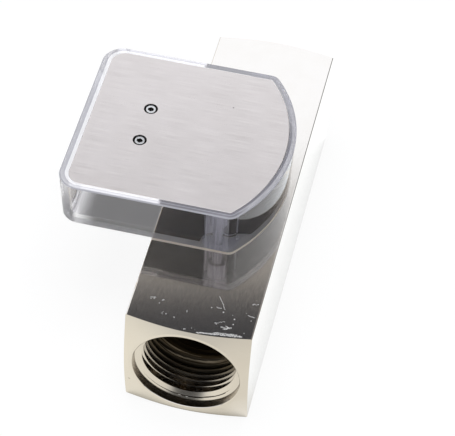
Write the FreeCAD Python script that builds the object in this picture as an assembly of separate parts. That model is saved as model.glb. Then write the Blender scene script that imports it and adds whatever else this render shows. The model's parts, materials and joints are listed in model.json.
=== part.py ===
import FreeCAD, Part
import math
import os

# Variable area flow meter, millimetres. The origin is the centre of the flow block's underside,
# +Y runs along the bar from the outlet to the inlet and +Z is up.
Vector = FreeCAD.Vector

# Flow block: a square bar whose ends carry a turned chamfer
BLOCK_WIDTH = 40.0
BLOCK_EDGE_BREAK = 0.4
END_FACE_STEP = 1.5
END_CHAMFER_ANGLE = 15.0

# Pipe ports: one-inch parallel pipe thread, drawn at its major diameter behind a short lead-in
PORT_RADIUS = 16.625
PORT_THREAD_LENGTH = 17.0
PORT_LEAD_RADIUS = 17.3
PORT_LEAD_LENGTH = 2.0

# Metering chamber and the tapered sleeve in it
CHAMBER_RADIUS = 13.5
CHAMBER_END_SPACE = 1.7
THROAT_STEP = 2.0
SLEEVE_BEYOND_TRAVEL = 43.0
SLEEVE_SEAT_WALL = 3.05
SLEEVE_TAPER_BEYOND_TRAVEL = 8.0
SLEEVE_OUTLET_WALL = 1.05
SEAL_SECTION = 1.6
SEAL_WIDTH = 2.0
SEAL_SIDE_SPACE = 0.4
SEAL_SETBACK = 6.0

# Spiders that carry the guide rod, and the ring that keeps the stack in the bar
SPIDER_THICKNESS = 5.0
SPIDER_RIM_WIDTH = 2.2
SPIDER_HUB_RADIUS = 4.6
SPIDER_ARM_WIDTH = 3.0
SPIDER_ARM_COUNT = 3
RETAINER_THICKNESS = 1.2
RETAINER_WIDTH = 2.2
RETAINER_GROOVE_DEPTH = 0.9
RETAINER_OPENING = 9.0
RETAINER_LUG_RADIUS = 1.9
RETAINER_LUG_HOLE = 0.8

# Guide rod with a threaded stub and a nut at each end
ROD_RADIUS = 2.0
ROD_STUB_RADIUS = 1.5
ROD_STUB_PROUD = 0.4
ROD_NUT_WIDTH = 5.5
ROD_NUT_HEIGHT = 2.4

# Sprung piston with a ring magnet behind its measuring edge
PISTON_TRAVEL = 32.0
PISTON_SIDE_GAP = 0.4
PISTON_EDGE_WIDTH = 1.0
PISTON_EDGE_RELIEF = 0.97
PISTON_HEAD_LENGTH = 7.0
PISTON_HUB_RADIUS = 4.2
PISTON_TAIL_LENGTH = 6.0
PISTON_MAGNET_LENGTH = 12.0
MAGNET_CAP_WALL = 1.0
PISTON_BUSH_WALL = 0.95
PISTON_BUSH_LENGTH = 8.0

# Return spring on the rod, between the magnet cap and a seat washer
SPRING_RADIUS = 6.2
SPRING_WIRE_RADIUS = 0.3
SPRING_COILS = 6
SPRING_STEPS_PER_COIL = 16
SPRING_SEAT_THICKNESS = 1.0
SPRING_SEAT_MARGIN = 1.8

# Clear indicator housing: a drafted tray whose curved wall is centred on the pointer's pivot
PIVOT_OFFSET = 30.2
ARC_WALL_REACH = 18.5
TRAY_SIDE_ROOM = 11.9
TRAY_BACK_REACH = 21.2
TRAY_HEIGHT = 17.6
TRAY_DRAFT_ANGLE = 2.6
TRAY_BACK_CORNER = 7.0
TRAY_ARC_CORNER = 3.5
TRAY_EDGE_BREAK = 0.4
TRAY_FLOOR = 2.4
RIM_WIDTH = 2.3
RIM_EXTRA_AT_BACK = 0.7
PLATE_LEDGE = 1.0
PLATE_THICKNESS = 1.5
PLATE_GAP = 0.08
SMALLEST_CORNER = 0.6

# Solid posts in the tray's two arc corners, with the screws that hold the tray on the bar
POST_ARC_SETBACK = 5.3
POST_SIDE_SETBACK = 6.6
POST_RADIUS = 4.0
POST_COUNTERBORE = 6.6
HOUSING_SCREW_RADIUS = 1.5
HOUSING_SCREW_HEAD_RADIUS = 2.75
HOUSING_SCREW_HEAD_HEIGHT = 3.0
HOUSING_SCREW_SOCKET = 2.5
HOUSING_SCREW_TIP_WALL = 1.9
HOUSING_SCREW_TIP_SPACE = 0.5

# Bearing frame of the pointer, hung under the cover plate by the two cover screws
COVER_SCREW_SPACING = 14.3
SMALL_SCREW_RADIUS = 1.25
SMALL_SCREW_HEAD_RADIUS = 2.05
SMALL_SCREW_SOCKET = 1.6
SMALL_SCREW_TIP_SPACE = 1.7
SMALL_SCREW_SUNK = 0.1
PAN_HEAD_FLOOR_GAP = 0.2
PAN_HEAD_WALL = 0.35
BRIDGE_WIDTH = 8.0
BRIDGE_THICKNESS = 1.5
BRIDGE_FLOOR_GAP = 1.0
PILLAR_RADIUS = 2.1

# Pointer and its staff
STAFF_RADIUS = 0.75
PIVOT_BUSH_RADIUS = 1.6
PIVOT_BUSH_FLANGE_RADIUS = 2.6
PIVOT_BUSH_FLANGE = 0.5
STAFF_END_PLAY = 0.3
HUB_RADIUS = 2.8
HUB_NECK_RADIUS = 2.0
ARM_THICKNESS = 1.0
ARM_ROOT_WIDTH = 5.2
ARM_TIP_WIDTH = 2.0
ARM_TAIL_WIDTH = 4.0
ARM_TIP_GAP = 0.8
ARM_EYE_WIDTH = 0.9
POINTER_MAGNET_PAST_BORE = 1.8
POINTER_MAGNET_RADIUS = 2.6
POINTER_MAGNET_LENGTH = 3.8
POINTER_MAGNET_FLOOR_GAP = 1.25
MAGNET_CUP_WALL = 0.55
MAGNET_CUP_FLANGE = 0.6
FLAG_WALL_GAP = 0.6
FLAG_FLOOR_GAP = 2.1
FLAG_PLATE_GAP = 2.0
FLAG_THICKNESS = 0.8
FLAG_WIDTH = 2.4
FLAG_FOOT_GAP = 1.0
FLAG_FOOT_THICKNESS = 0.5
COUNTERWEIGHT_BACK_GAP = 2.2
COUNTERWEIGHT_PLATE_GAP = 2.3
COUNTERWEIGHT_RADIUS = 3.2
COUNTERWEIGHT_SPIGOT = 1.3

# Radial clearances
RUNNING_CLEARANCE = 0.05
SEAT_CLEARANCE = 0.03
SCREW_CLEARANCE = 0.1
CUT_MARGIN = 1.0

# Places along the bar, worked out from the middle of the sleeve
flow_z = BLOCK_WIDTH / 2
sleeve_end = (PISTON_TRAVEL + SLEEVE_BEYOND_TRAVEL) / 2
stack_end = sleeve_end + SPIDER_THICKNESS
rod_end = stack_end + ROD_NUT_HEIGHT + ROD_STUB_PROUD
port_floor = rod_end + CHAMBER_END_SPACE
thread_mouth = port_floor + PORT_THREAD_LENGTH
block_end = thread_mouth + PORT_LEAD_LENGTH
insert_radius = CHAMBER_RADIUS - RUNNING_CLEARANCE
throat_radius = CHAMBER_RADIUS - THROAT_STEP
seal_groove_radius = CHAMBER_RADIUS - SEAL_SECTION
seal_middle = sleeve_end - SEAL_SETBACK

# The piston at rest, with its nose on the inlet spider and its magnet half a travel from the middle
magnet_middle = PISTON_TRAVEL / 2
magnet_front = magnet_middle + PISTON_MAGNET_LENGTH / 2
magnet_rear = magnet_middle - PISTON_MAGNET_LENGTH / 2
cap_rear = magnet_rear - MAGNET_CAP_WALL
tail_end = cap_rear - PISTON_TAIL_LENGTH
head_front = magnet_front + PISTON_HEAD_LENGTH
edge_front = magnet_front + PISTON_HEAD_LENGTH / 2
seat_radius = insert_radius - SLEEVE_SEAT_WALL
outlet_radius = insert_radius - SLEEVE_OUTLET_WALL
piston_radius = seat_radius - PISTON_SIDE_GAP
cap_radius = piston_radius - PISTON_EDGE_RELIEF
cap_inner_radius = cap_radius - MAGNET_CAP_WALL
piston_magnet_radius = cap_inner_radius - SEAT_CLEARANCE
bush_radius = ROD_RADIUS + RUNNING_CLEARANCE + PISTON_BUSH_WALL
piston_bore = bush_radius + SEAT_CLEARANCE
spring_seat_face = -sleeve_end + SPRING_SEAT_THICKNESS

# Heights in the indicator
tray_base = BLOCK_WIDTH
rim_z = tray_base + TRAY_HEIGHT
plate_seat = rim_z - PLATE_THICKNESS
cavity_floor = tray_base + TRAY_FLOOR
cavity_inset = RIM_WIDTH + PLATE_LEDGE
post_seat = plate_seat - POST_COUNTERBORE
housing_screw_tip = tray_base - (BLOCK_WIDTH / 2 - CHAMBER_RADIUS - HOUSING_SCREW_TIP_WALL)
lower_bridge_z = cavity_floor + BRIDGE_FLOOR_GAP
pillar_foot = lower_bridge_z + BRIDGE_THICKNESS
pillar_top = plate_seat - BRIDGE_THICKNESS
hub_foot = pillar_foot + PIVOT_BUSH_FLANGE + STAFF_END_PLAY
hub_top = pillar_top - PIVOT_BUSH_FLANGE - STAFF_END_PLAY
magnet_foot = cavity_floor + POINTER_MAGNET_FLOOR_GAP + MAGNET_CUP_WALL
arm_top = magnet_foot + POINTER_MAGNET_LENGTH
arm_z = arm_top - ARM_THICKNESS
small_screw_engagement = (pillar_top - pillar_foot - SMALL_SCREW_TIP_SPACE) / 2
screw_sides = (-1, 1)
cover_screw_y = COVER_SCREW_SPACING / 2

# The pointer looks at the piston's magnet, so its rest angle follows from the travel
pointer_rest_angle = math.degrees(math.atan2(magnet_middle, PIVOT_OFFSET))
pointer_magnet_reach = PIVOT_OFFSET + POINTER_MAGNET_PAST_BORE
cup_radius = POINTER_MAGNET_RADIUS + SEAT_CLEARANCE + MAGNET_CUP_WALL
eye_radius = cup_radius + SEAT_CLEARANCE + ARM_EYE_WIDTH

# The curved wall sets the pointer's reach, and the pointer's swing sets the tray's width
tray_arc_radius = PIVOT_OFFSET + ARC_WALL_REACH
drafted = TRAY_HEIGHT * math.tan(math.radians(TRAY_DRAFT_ANGLE))
flag_reach = tray_arc_radius - cavity_inset - drafted - FLAG_WALL_GAP
arm_reach = flag_reach - FLAG_THICKNESS - ARM_TIP_GAP
tray_half_width = flag_reach * math.sin(math.radians(pointer_rest_angle)) + TRAY_SIDE_ROOM
post_x = math.sqrt(tray_arc_radius ** 2 - tray_half_width ** 2) - PIVOT_OFFSET - POST_ARC_SETBACK
post_y = tray_half_width - POST_SIDE_SETBACK
cavity_back = TRAY_BACK_REACH - RIM_EXTRA_AT_BACK - cavity_inset - drafted
counterweight_reach = cavity_back - COUNTERWEIGHT_RADIUS - COUNTERWEIGHT_BACK_GAP


def turned(profile):
    """Solid of revolution about the flow axis from (radius, y) points."""
    points = [Vector(radius, y, flow_z) for radius, y in profile]
    face = Part.Face(Part.makePolygon(points + points[:1]))
    return face.revolve(Vector(0, 0, flow_z), Vector(0, 1, 0), 360)


def along_flow(radius, start, end):
    """Round bar on the flow axis between two places along it."""
    return Part.makeCylinder(radius, end - start, Vector(0, start, flow_z), Vector(0, 1, 0))


def upright(radius, low, high, x=0.0, y=0.0):
    """Round bar standing on its end."""
    return Part.makeCylinder(radius, high - low, Vector(x, y, low))


def ring_upright(outer, inner, low, high, x=0.0, y=0.0):
    """Upright bush."""
    bore = upright(inner, low - CUT_MARGIN, high + CUT_MARGIN, x, y)
    return upright(outer, low, high, x, y).cut(bore)


def hexagon(width, height):
    """Hexagonal bar along +Z from the origin, measured across its flats."""
    corner = width / math.sqrt(3)
    angles = [math.radians(60 * step) for step in range(7)]
    points = [Vector(corner * math.cos(angle), corner * math.sin(angle), 0) for angle in angles]
    return Part.Face(Part.makePolygon(points)).extrude(Vector(0, 0, height))


def block(x_range, y_range, z_range):
    """Box between two corners."""
    corner = Vector(x_range[0], y_range[0], z_range[0])
    return Part.makeBox(x_range[1] - x_range[0], y_range[1] - y_range[0], z_range[1] - z_range[0], corner)


def fused(first, *others):
    """One clean solid from overlapping solids."""
    return first.fuse(list(others)).removeSplitter()


def on_pivot(shape):
    """Carry a piece from the pointer's own axes to its place at rest."""
    placed = shape.copy()
    placed.rotate(Vector(0, 0, 0), Vector(0, 0, 1), pointer_rest_angle)
    placed.translate(Vector(-PIVOT_OFFSET, 0, 0))
    return placed


# Flow block and what is in it
def flow_path():
    """Ports, chamber and throat as one revolved cut."""
    mouth = block_end + CUT_MARGIN
    return turned([
        (0, -mouth), (PORT_LEAD_RADIUS, -mouth), (PORT_LEAD_RADIUS, -thread_mouth),
        (PORT_RADIUS, -thread_mouth), (PORT_RADIUS, -port_floor), (throat_radius, -port_floor),
        (throat_radius, -stack_end), (CHAMBER_RADIUS, -stack_end), (CHAMBER_RADIUS, port_floor),
        (PORT_RADIUS, port_floor), (PORT_RADIUS, thread_mouth), (PORT_LEAD_RADIUS, thread_mouth),
        (PORT_LEAD_RADIUS, mouth), (0, mouth),
    ])


def flow_block():
    half = BLOCK_WIDTH / 2
    bar = block((-half, half), (-block_end, block_end), (0, BLOCK_WIDTH))
    long_edges = [edge for edge in bar.Edges if abs(edge.tangentAt(0).y) > 0.9]
    bar = bar.makeChamfer(BLOCK_EDGE_BREAK, long_edges)
    end_face_radius = half - END_FACE_STEP
    corner_radius = BLOCK_WIDTH
    setback = (corner_radius - end_face_radius) * math.tan(math.radians(END_CHAMFER_ANGLE))
    blank = turned([
        (0, -block_end), (end_face_radius, -block_end), (corner_radius, -block_end + setback),
        (corner_radius, block_end - setback), (end_face_radius, block_end), (0, block_end),
    ])
    groove_radius = CHAMBER_RADIUS + RETAINER_GROOVE_DEPTH
    groove = along_flow(groove_radius, stack_end, stack_end + RETAINER_THICKNESS + SCREW_CLEARANCE)
    screw_holes = [
        upright(HOUSING_SCREW_RADIUS + RUNNING_CLEARANCE, housing_screw_tip - HOUSING_SCREW_TIP_SPACE,
                tray_base + CUT_MARGIN, post_x, side * post_y)
        for side in screw_sides
    ]
    return bar.common(blank).cut([flow_path(), groove] + screw_holes)


def measuring_sleeve():
    """Straight seat up to the piston's edge, then a bore that widens along its travel."""
    taper_end = edge_front - PISTON_TRAVEL - SLEEVE_TAPER_BEYOND_TRAVEL
    half_groove = SEAL_WIDTH / 2 + SEAL_SIDE_SPACE
    return turned([
        (insert_radius, -sleeve_end), (insert_radius, seal_middle - half_groove),
        (seal_groove_radius, seal_middle - half_groove), (seal_groove_radius, seal_middle + half_groove),
        (insert_radius, seal_middle + half_groove), (insert_radius, sleeve_end), (seat_radius, sleeve_end),
        (seat_radius, edge_front), (outlet_radius, taper_end), (outlet_radius, -sleeve_end),
    ])


def sleeve_seal():
    """Square-section ring squeezed between its groove and the chamber."""
    low = seal_middle - SEAL_WIDTH / 2
    high = seal_middle + SEAL_WIDTH / 2
    return turned([
        (seal_groove_radius, low), (CHAMBER_RADIUS, low), (CHAMBER_RADIUS, high), (seal_groove_radius, high),
    ])


def spider(start):
    """Rim, arms and bored hub."""
    end = start + SPIDER_THICKNESS
    inner = insert_radius - SPIDER_RIM_WIDTH
    rim = along_flow(insert_radius, start, end).cut(along_flow(inner, start, end))
    hub = along_flow(SPIDER_HUB_RADIUS, start, end)
    middle_radius = insert_radius - SPIDER_RIM_WIDTH / 2
    half = SPIDER_ARM_WIDTH / 2
    arms = []
    for step in range(SPIDER_ARM_COUNT):
        arm = block((-half, half), (start, end), (flow_z, flow_z + middle_radius))
        arm.rotate(Vector(0, 0, flow_z), Vector(0, 1, 0), 360 * step / SPIDER_ARM_COUNT)
        arms.append(arm)
    bore = along_flow(ROD_STUB_RADIUS + SEAT_CLEARANCE, start, end)
    return fused(rim, hub, *arms).cut(bore)


def retaining_ring():
    """Spring ring with an opening and an eye at each end for the pliers."""
    start = stack_end
    end = stack_end + RETAINER_THICKNESS
    outer = CHAMBER_RADIUS + RETAINER_GROOVE_DEPTH - SCREW_CLEARANCE
    ring = along_flow(outer, start, end).cut(along_flow(outer - RETAINER_WIDTH, start, end))
    half = RETAINER_OPENING / 2
    opening = block((-half, half), (start, end), (flow_z - outer, flow_z))
    ring = ring.cut(opening)
    eye_x = half + RETAINER_LUG_RADIUS
    eye_z = flow_z - math.sqrt((outer - RETAINER_WIDTH) ** 2 - eye_x ** 2)
    for side in screw_sides:
        place = Vector(side * eye_x, start, eye_z)
        eye = Part.makeCylinder(RETAINER_LUG_RADIUS, RETAINER_THICKNESS, place, Vector(0, 1, 0))
        hole = Part.makeCylinder(RETAINER_LUG_HOLE, RETAINER_THICKNESS, place, Vector(0, 1, 0))
        ring = fused(ring, eye).cut(hole)
    return ring


def guide_rod():
    return turned([
        (0, -rod_end), (ROD_STUB_RADIUS, -rod_end), (ROD_STUB_RADIUS, -sleeve_end), (ROD_RADIUS, -sleeve_end),
        (ROD_RADIUS, sleeve_end), (ROD_STUB_RADIUS, sleeve_end), (ROD_STUB_RADIUS, rod_end), (0, rod_end),
    ])


def guide_rod_nuts():
    bore = along_flow(ROD_STUB_RADIUS + SEAT_CLEARANCE, -rod_end, rod_end)
    nuts = []
    for start in (stack_end, -stack_end - ROD_NUT_HEIGHT):
        nut = hexagon(ROD_NUT_WIDTH, ROD_NUT_HEIGHT)
        nut.rotate(Vector(0, 0, 0), Vector(1, 0, 0), -90)
        nut.translate(Vector(0, start, flow_z))
        nuts.append(nut.cut(bore))
    return Part.makeCompound(nuts)


def piston():
    """Nose tube, sharp measuring edge and the hub that carries the magnet."""
    edge_rear = edge_front - PISTON_EDGE_WIDTH
    return turned([
        (piston_bore, tail_end), (PISTON_HUB_RADIUS, tail_end), (PISTON_HUB_RADIUS, magnet_front),
        (cap_radius, magnet_front), (cap_radius, edge_rear), (piston_radius, edge_rear),
        (piston_radius, edge_front), (PISTON_HUB_RADIUS, head_front), (PISTON_HUB_RADIUS, sleeve_end),
        (piston_bore, sleeve_end),
    ])


def piston_magnet():
    inner = PISTON_HUB_RADIUS + SEAT_CLEARANCE
    return turned([
        (inner, magnet_rear), (piston_magnet_radius, magnet_rear),
        (piston_magnet_radius, magnet_front), (inner, magnet_front),
    ])


def magnet_cap():
    """Cup over the magnet, screwed to the piston's hub."""
    inner = PISTON_HUB_RADIUS + SEAT_CLEARANCE
    return turned([
        (inner, cap_rear), (cap_radius, cap_rear), (cap_radius, magnet_front),
        (cap_inner_radius, magnet_front), (cap_inner_radius, magnet_rear), (inner, magnet_rear),
    ])


def piston_bushes():
    inner = ROD_RADIUS + RUNNING_CLEARANCE
    bushes = []
    for start in (tail_end, sleeve_end - PISTON_BUSH_LENGTH):
        end = start + PISTON_BUSH_LENGTH
        bushes.append(turned([(inner, start), (bush_radius, start), (bush_radius, end), (inner, end)]))
    return Part.makeCompound(bushes)


def spring_seat():
    inner = ROD_RADIUS + SCREW_CLEARANCE
    outer = SPRING_RADIUS + SPRING_SEAT_MARGIN
    return turned([
        (inner, -sleeve_end), (outer, -sleeve_end), (outer, spring_seat_face), (inner, spring_seat_face),
    ])


def return_spring():
    """Wire coiled in short straight steps, its ends ground flat on the seat and on the magnet cap."""
    steps = SPRING_COILS * SPRING_STEPS_PER_COIL
    path = []
    for step in range(steps + 1):
        turn = 2 * math.pi * step / SPRING_STEPS_PER_COIL
        y = spring_seat_face + (cap_rear - spring_seat_face) * step / steps
        path.append(Vector(SPRING_RADIUS * math.cos(turn), y, flow_z + SPRING_RADIUS * math.sin(turn)))
    out = Vector(1, 0, 0)
    across = (path[1] - path[0]).cross(out).normalize()
    corners = [math.radians(60 * side) for side in range(7)]
    section = Part.makePolygon([
        path[0] + out * SPRING_WIRE_RADIUS * math.cos(angle) + across * SPRING_WIRE_RADIUS * math.sin(angle)
        for angle in corners
    ])
    wire = Part.makePolygon(path).makePipeShell([section], True, True, 1)
    reach = SPRING_RADIUS + 2 * SPRING_WIRE_RADIUS
    return wire.common(along_flow(reach, spring_seat_face, cap_rear))


# Clear indicator on the bar
def tray_form(inset, low, high, draft_angle, back_extra=0.0):
    """Upright form with one curved wall, drawn inwards by inset from the rim's outline."""
    pull = [inset + (rim_z - z) * math.tan(math.radians(draft_angle)) for z in (low, high)]
    half = [tray_half_width - value for value in pull]
    back = [-TRAY_BACK_REACH + back_extra + value for value in pull]
    arc = [tray_arc_radius - value for value in pull]
    reach = tray_arc_radius + CUT_MARGIN
    height = high - low
    walls = Part.makeWedge(back[0], 0, -half[0], -half[1], back[1], reach, height, half[0], half[1], reach)
    walls.rotate(Vector(0, 0, 0), Vector(1, 0, 0), 90)
    if draft_angle == 0:
        round_side = Part.makeCylinder(arc[0], height)
    else:
        round_side = Part.makeCone(arc[0], arc[1], height)
    round_side.rotate(Vector(0, 0, 0), Vector(0, 0, 1), 180)
    form = walls.common(round_side)
    for end, radius in ((-1, TRAY_BACK_CORNER), (1, TRAY_ARC_CORNER)):
        corners = [edge for edge in form.Edges
                   if abs(edge.tangentAt(edge.FirstParameter).z) > 0.7 and edge.CenterOfMass.x * end > 0]
        form = form.makeFillet(max(radius - inset, SMALLEST_CORNER), corners)
    form.translate(Vector(-PIVOT_OFFSET, 0, low))
    return form


def corner_posts():
    """Round posts run out to the side wall and the curved wall."""
    posts = []
    low = cavity_floor - CUT_MARGIN
    for side in screw_sides:
        post = upright(POST_RADIUS, low, rim_z, post_x, side * post_y)
        run_out = sorted((side * post_y, side * tray_half_width))
        posts.append(post.fuse(block((post_x - POST_RADIUS, tray_arc_radius), run_out, (low, rim_z))))
    return posts


def indicator_housing():
    outer = tray_form(0, tray_base, rim_z, TRAY_DRAFT_ANGLE)
    rim_edges = [edge for edge in outer.Edges
                 if all(abs(corner.Z - rim_z) < SEAT_CLEARANCE for corner in edge.Vertexes)]
    outer = outer.makeChamfer(TRAY_EDGE_BREAK, rim_edges)
    recess = tray_form(RIM_WIDTH, plate_seat, rim_z + CUT_MARGIN, 0, RIM_EXTRA_AT_BACK)
    cavity = tray_form(cavity_inset, cavity_floor, plate_seat, TRAY_DRAFT_ANGLE, RIM_EXTRA_AT_BACK)
    cavity = cavity.cut(corner_posts())
    holes = []
    for side in screw_sides:
        place = (post_x, side * post_y)
        holes.append(upright(HOUSING_SCREW_RADIUS + SCREW_CLEARANCE, tray_base - CUT_MARGIN, rim_z, *place))
        holes.append(upright(HOUSING_SCREW_HEAD_RADIUS + SCREW_CLEARANCE, post_seat, rim_z, *place))
    return outer.cut([recess, cavity] + holes)


def housing_screws():
    """Cap screws with a hexagon socket."""
    screws = []
    for side in screw_sides:
        place = (post_x, side * post_y)
        head = upright(HOUSING_SCREW_HEAD_RADIUS, post_seat, post_seat + HOUSING_SCREW_HEAD_HEIGHT, *place)
        shank = upright(HOUSING_SCREW_RADIUS, housing_screw_tip, post_seat, *place)
        socket_depth = HOUSING_SCREW_HEAD_HEIGHT / 2
        socket = hexagon(HOUSING_SCREW_SOCKET, socket_depth)
        socket.translate(Vector(post_x, side * post_y, post_seat + HOUSING_SCREW_HEAD_HEIGHT - socket_depth))
        screws.append(fused(head, shank).cut(socket))
    return Part.makeCompound(screws)


def countersunk_screw(length):
    """Countersunk screw hanging down from the origin."""
    cone = SMALL_SCREW_HEAD_RADIUS - SMALL_SCREW_RADIUS
    profile = [
        (0, 0), (SMALL_SCREW_HEAD_RADIUS, 0), (SMALL_SCREW_RADIUS, -cone),
        (SMALL_SCREW_RADIUS, -length), (0, -length),
    ]
    points = [Vector(radius, 0, z) for radius, z in profile]
    body = Part.Face(Part.makePolygon(points + points[:1])).revolve(Vector(0, 0, 0), Vector(0, 0, 1), 360)
    socket = hexagon(SMALL_SCREW_SOCKET, cone)
    socket.translate(Vector(0, 0, -cone))
    return body.cut(socket)


def countersink(length):
    """Room for a countersunk screw whose head lies just below the face at the origin."""
    head = SMALL_SCREW_HEAD_RADIUS + SCREW_CLEARANCE
    neck = SMALL_SCREW_RADIUS + SCREW_CLEARANCE
    depth = SMALL_SCREW_SUNK + head - neck
    profile = [
        (0, CUT_MARGIN), (head, CUT_MARGIN), (head, -SMALL_SCREW_SUNK),
        (neck, -depth), (neck, -length), (0, -length),
    ]
    points = [Vector(radius, 0, z) for radius, z in profile]
    return Part.Face(Part.makePolygon(points + points[:1])).revolve(Vector(0, 0, 0), Vector(0, 0, 1), 360)


def at_cover_screws(shape, z):
    """A copy of the shape at each cover screw."""
    copies = []
    for side in screw_sides:
        copy = shape.copy()
        copy.translate(Vector(-PIVOT_OFFSET, side * cover_screw_y, z))
        copies.append(copy)
    return copies


def cover_plate():
    plate = tray_form(RIM_WIDTH + PLATE_GAP, plate_seat, rim_z, 0, RIM_EXTRA_AT_BACK)
    return plate.cut(at_cover_screws(countersink(PLATE_THICKNESS + CUT_MARGIN), rim_z))


def cover_screws():
    length = PLATE_THICKNESS + BRIDGE_THICKNESS + small_screw_engagement - SMALL_SCREW_SUNK
    return Part.makeCompound(at_cover_screws(countersunk_screw(length), rim_z - SMALL_SCREW_SUNK))


def bridge(low):
    """Bar with round ends that carries a pivot bush between the two pillars."""
    half = BRIDGE_WIDTH / 2
    high = low + BRIDGE_THICKNESS
    x_range = (-PIVOT_OFFSET - half, -PIVOT_OFFSET + half)
    middle = block(x_range, (-cover_screw_y, cover_screw_y), (low, high))
    ends = [upright(half, low, high, -PIVOT_OFFSET, side * cover_screw_y) for side in screw_sides]
    bush_hole = upright(PIVOT_BUSH_RADIUS + SEAT_CLEARANCE, low, high, -PIVOT_OFFSET)
    screw_hole = upright(SMALL_SCREW_RADIUS + SCREW_CLEARANCE, 0, BRIDGE_THICKNESS)
    return fused(middle, *ends).cut(at_cover_screws(screw_hole, low) + [bush_hole])


def bridge_pillars():
    """Spacers tapped at both ends."""
    hole = SMALL_SCREW_RADIUS + RUNNING_CLEARANCE
    pillar = ring_upright(PILLAR_RADIUS, hole, pillar_foot, pillar_top)
    return Part.makeCompound(at_cover_screws(pillar, 0))


def bridge_screws():
    """Flat-headed screws from below, in the space over the tray's floor."""
    head_height = BRIDGE_FLOOR_GAP - PAN_HEAD_FLOOR_GAP
    head = upright(SMALL_SCREW_HEAD_RADIUS, -head_height, 0)
    shank = upright(SMALL_SCREW_RADIUS, 0, BRIDGE_THICKNESS + small_screw_engagement)
    socket = hexagon(SMALL_SCREW_SOCKET, head_height - PAN_HEAD_WALL)
    socket.translate(Vector(0, 0, -head_height))
    return Part.makeCompound(at_cover_screws(fused(head, shank).cut(socket), lower_bridge_z))


def pivot_bushes():
    """Flanged bushes, flange inwards."""
    bore = STAFF_RADIUS + RUNNING_CLEARANCE
    bushes = []
    for body, flange in (
        ((lower_bridge_z, pillar_foot), (pillar_foot, pillar_foot + PIVOT_BUSH_FLANGE)),
        ((pillar_top, plate_seat), (pillar_top - PIVOT_BUSH_FLANGE, pillar_top)),
    ):
        neck = ring_upright(PIVOT_BUSH_RADIUS, bore, *body, -PIVOT_OFFSET)
        rim = ring_upright(PIVOT_BUSH_FLANGE_RADIUS, bore, *flange, -PIVOT_OFFSET)
        bushes.append(fused(neck, rim))
    return Part.makeCompound(bushes)


# Pointer, drawn along +X from its pivot
def pivot_staff():
    return on_pivot(upright(STAFF_RADIUS, lower_bridge_z + SCREW_CLEARANCE, plate_seat - SCREW_CLEARANCE))


def pointer_hub():
    bore = STAFF_RADIUS + SEAT_CLEARANCE
    shoulder = ring_upright(HUB_RADIUS, bore, hub_foot, arm_z)
    neck = ring_upright(HUB_NECK_RADIUS, bore, arm_z, hub_top)
    return on_pivot(fused(shoulder, neck))


def pointer_arm():
    """Tapered blade with a round boss at the hub, an eye for the magnet and a tail for the counterweight."""
    root = ARM_ROOT_WIDTH / 2
    tip = ARM_TIP_WIDTH / 2
    tail = ARM_TAIL_WIDTH / 2
    outline = [Vector(x, y, arm_z) for x, y in (
        (-counterweight_reach, -tail), (0, -root), (arm_reach, -tip),
        (arm_reach, tip), (0, root), (-counterweight_reach, tail), (-counterweight_reach, -tail),
    )]
    blade = Part.Face(Part.makePolygon(outline)).extrude(Vector(0, 0, ARM_THICKNESS))
    boss = upright(HUB_RADIUS, arm_z, arm_top)
    eye = upright(eye_radius, arm_z, arm_top, pointer_magnet_reach)
    tail_end_disc = upright(tail, arm_z, arm_top, -counterweight_reach)
    hub_hole = upright(HUB_NECK_RADIUS + SEAT_CLEARANCE, arm_z, arm_top)
    eye_hole = upright(cup_radius + SEAT_CLEARANCE, arm_z, arm_top, pointer_magnet_reach)
    tail_hole = upright(COUNTERWEIGHT_SPIGOT + SEAT_CLEARANCE, arm_z, arm_top, -counterweight_reach)
    return on_pivot(fused(blade, boss, eye, tail_end_disc).cut([hub_hole, eye_hole, tail_hole]))


def pointer_magnet():
    return on_pivot(upright(POINTER_MAGNET_RADIUS, magnet_foot, arm_top, pointer_magnet_reach))


def pointer_magnet_cup():
    """Flanged cup that hangs in the arm's eye, open at the top."""
    inside = POINTER_MAGNET_RADIUS + SEAT_CLEARANCE
    cup = upright(cup_radius, magnet_foot - MAGNET_CUP_WALL, arm_top, pointer_magnet_reach)
    flange = upright(eye_radius, arm_top, arm_top + MAGNET_CUP_FLANGE, pointer_magnet_reach)
    pocket = upright(inside, magnet_foot, arm_top + MAGNET_CUP_FLANGE, pointer_magnet_reach)
    return on_pivot(fused(cup, flange).cut(pocket))


def pointer_flag():
    """Upright tip read through the curved wall, on a foot that lies on the arm."""
    half = FLAG_WIDTH / 2
    inner = flag_reach - FLAG_THICKNESS
    low = cavity_floor + FLAG_FLOOR_GAP
    high = plate_seat - FLAG_PLATE_GAP
    face = block((inner, flag_reach), (-half, half), (low, high))
    foot_start = pointer_magnet_reach + eye_radius + FLAG_FOOT_GAP
    foot = block((foot_start, flag_reach), (-half, half), (arm_top, arm_top + FLAG_FOOT_THICKNESS))
    return on_pivot(fused(face, foot))


def counterweight():
    high = plate_seat - COUNTERWEIGHT_PLATE_GAP
    weight = upright(COUNTERWEIGHT_RADIUS, arm_top, high, -counterweight_reach)
    spigot = upright(COUNTERWEIGHT_SPIGOT, arm_z, arm_top, -counterweight_reach)
    return on_pivot(fused(weight, spigot))


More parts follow.
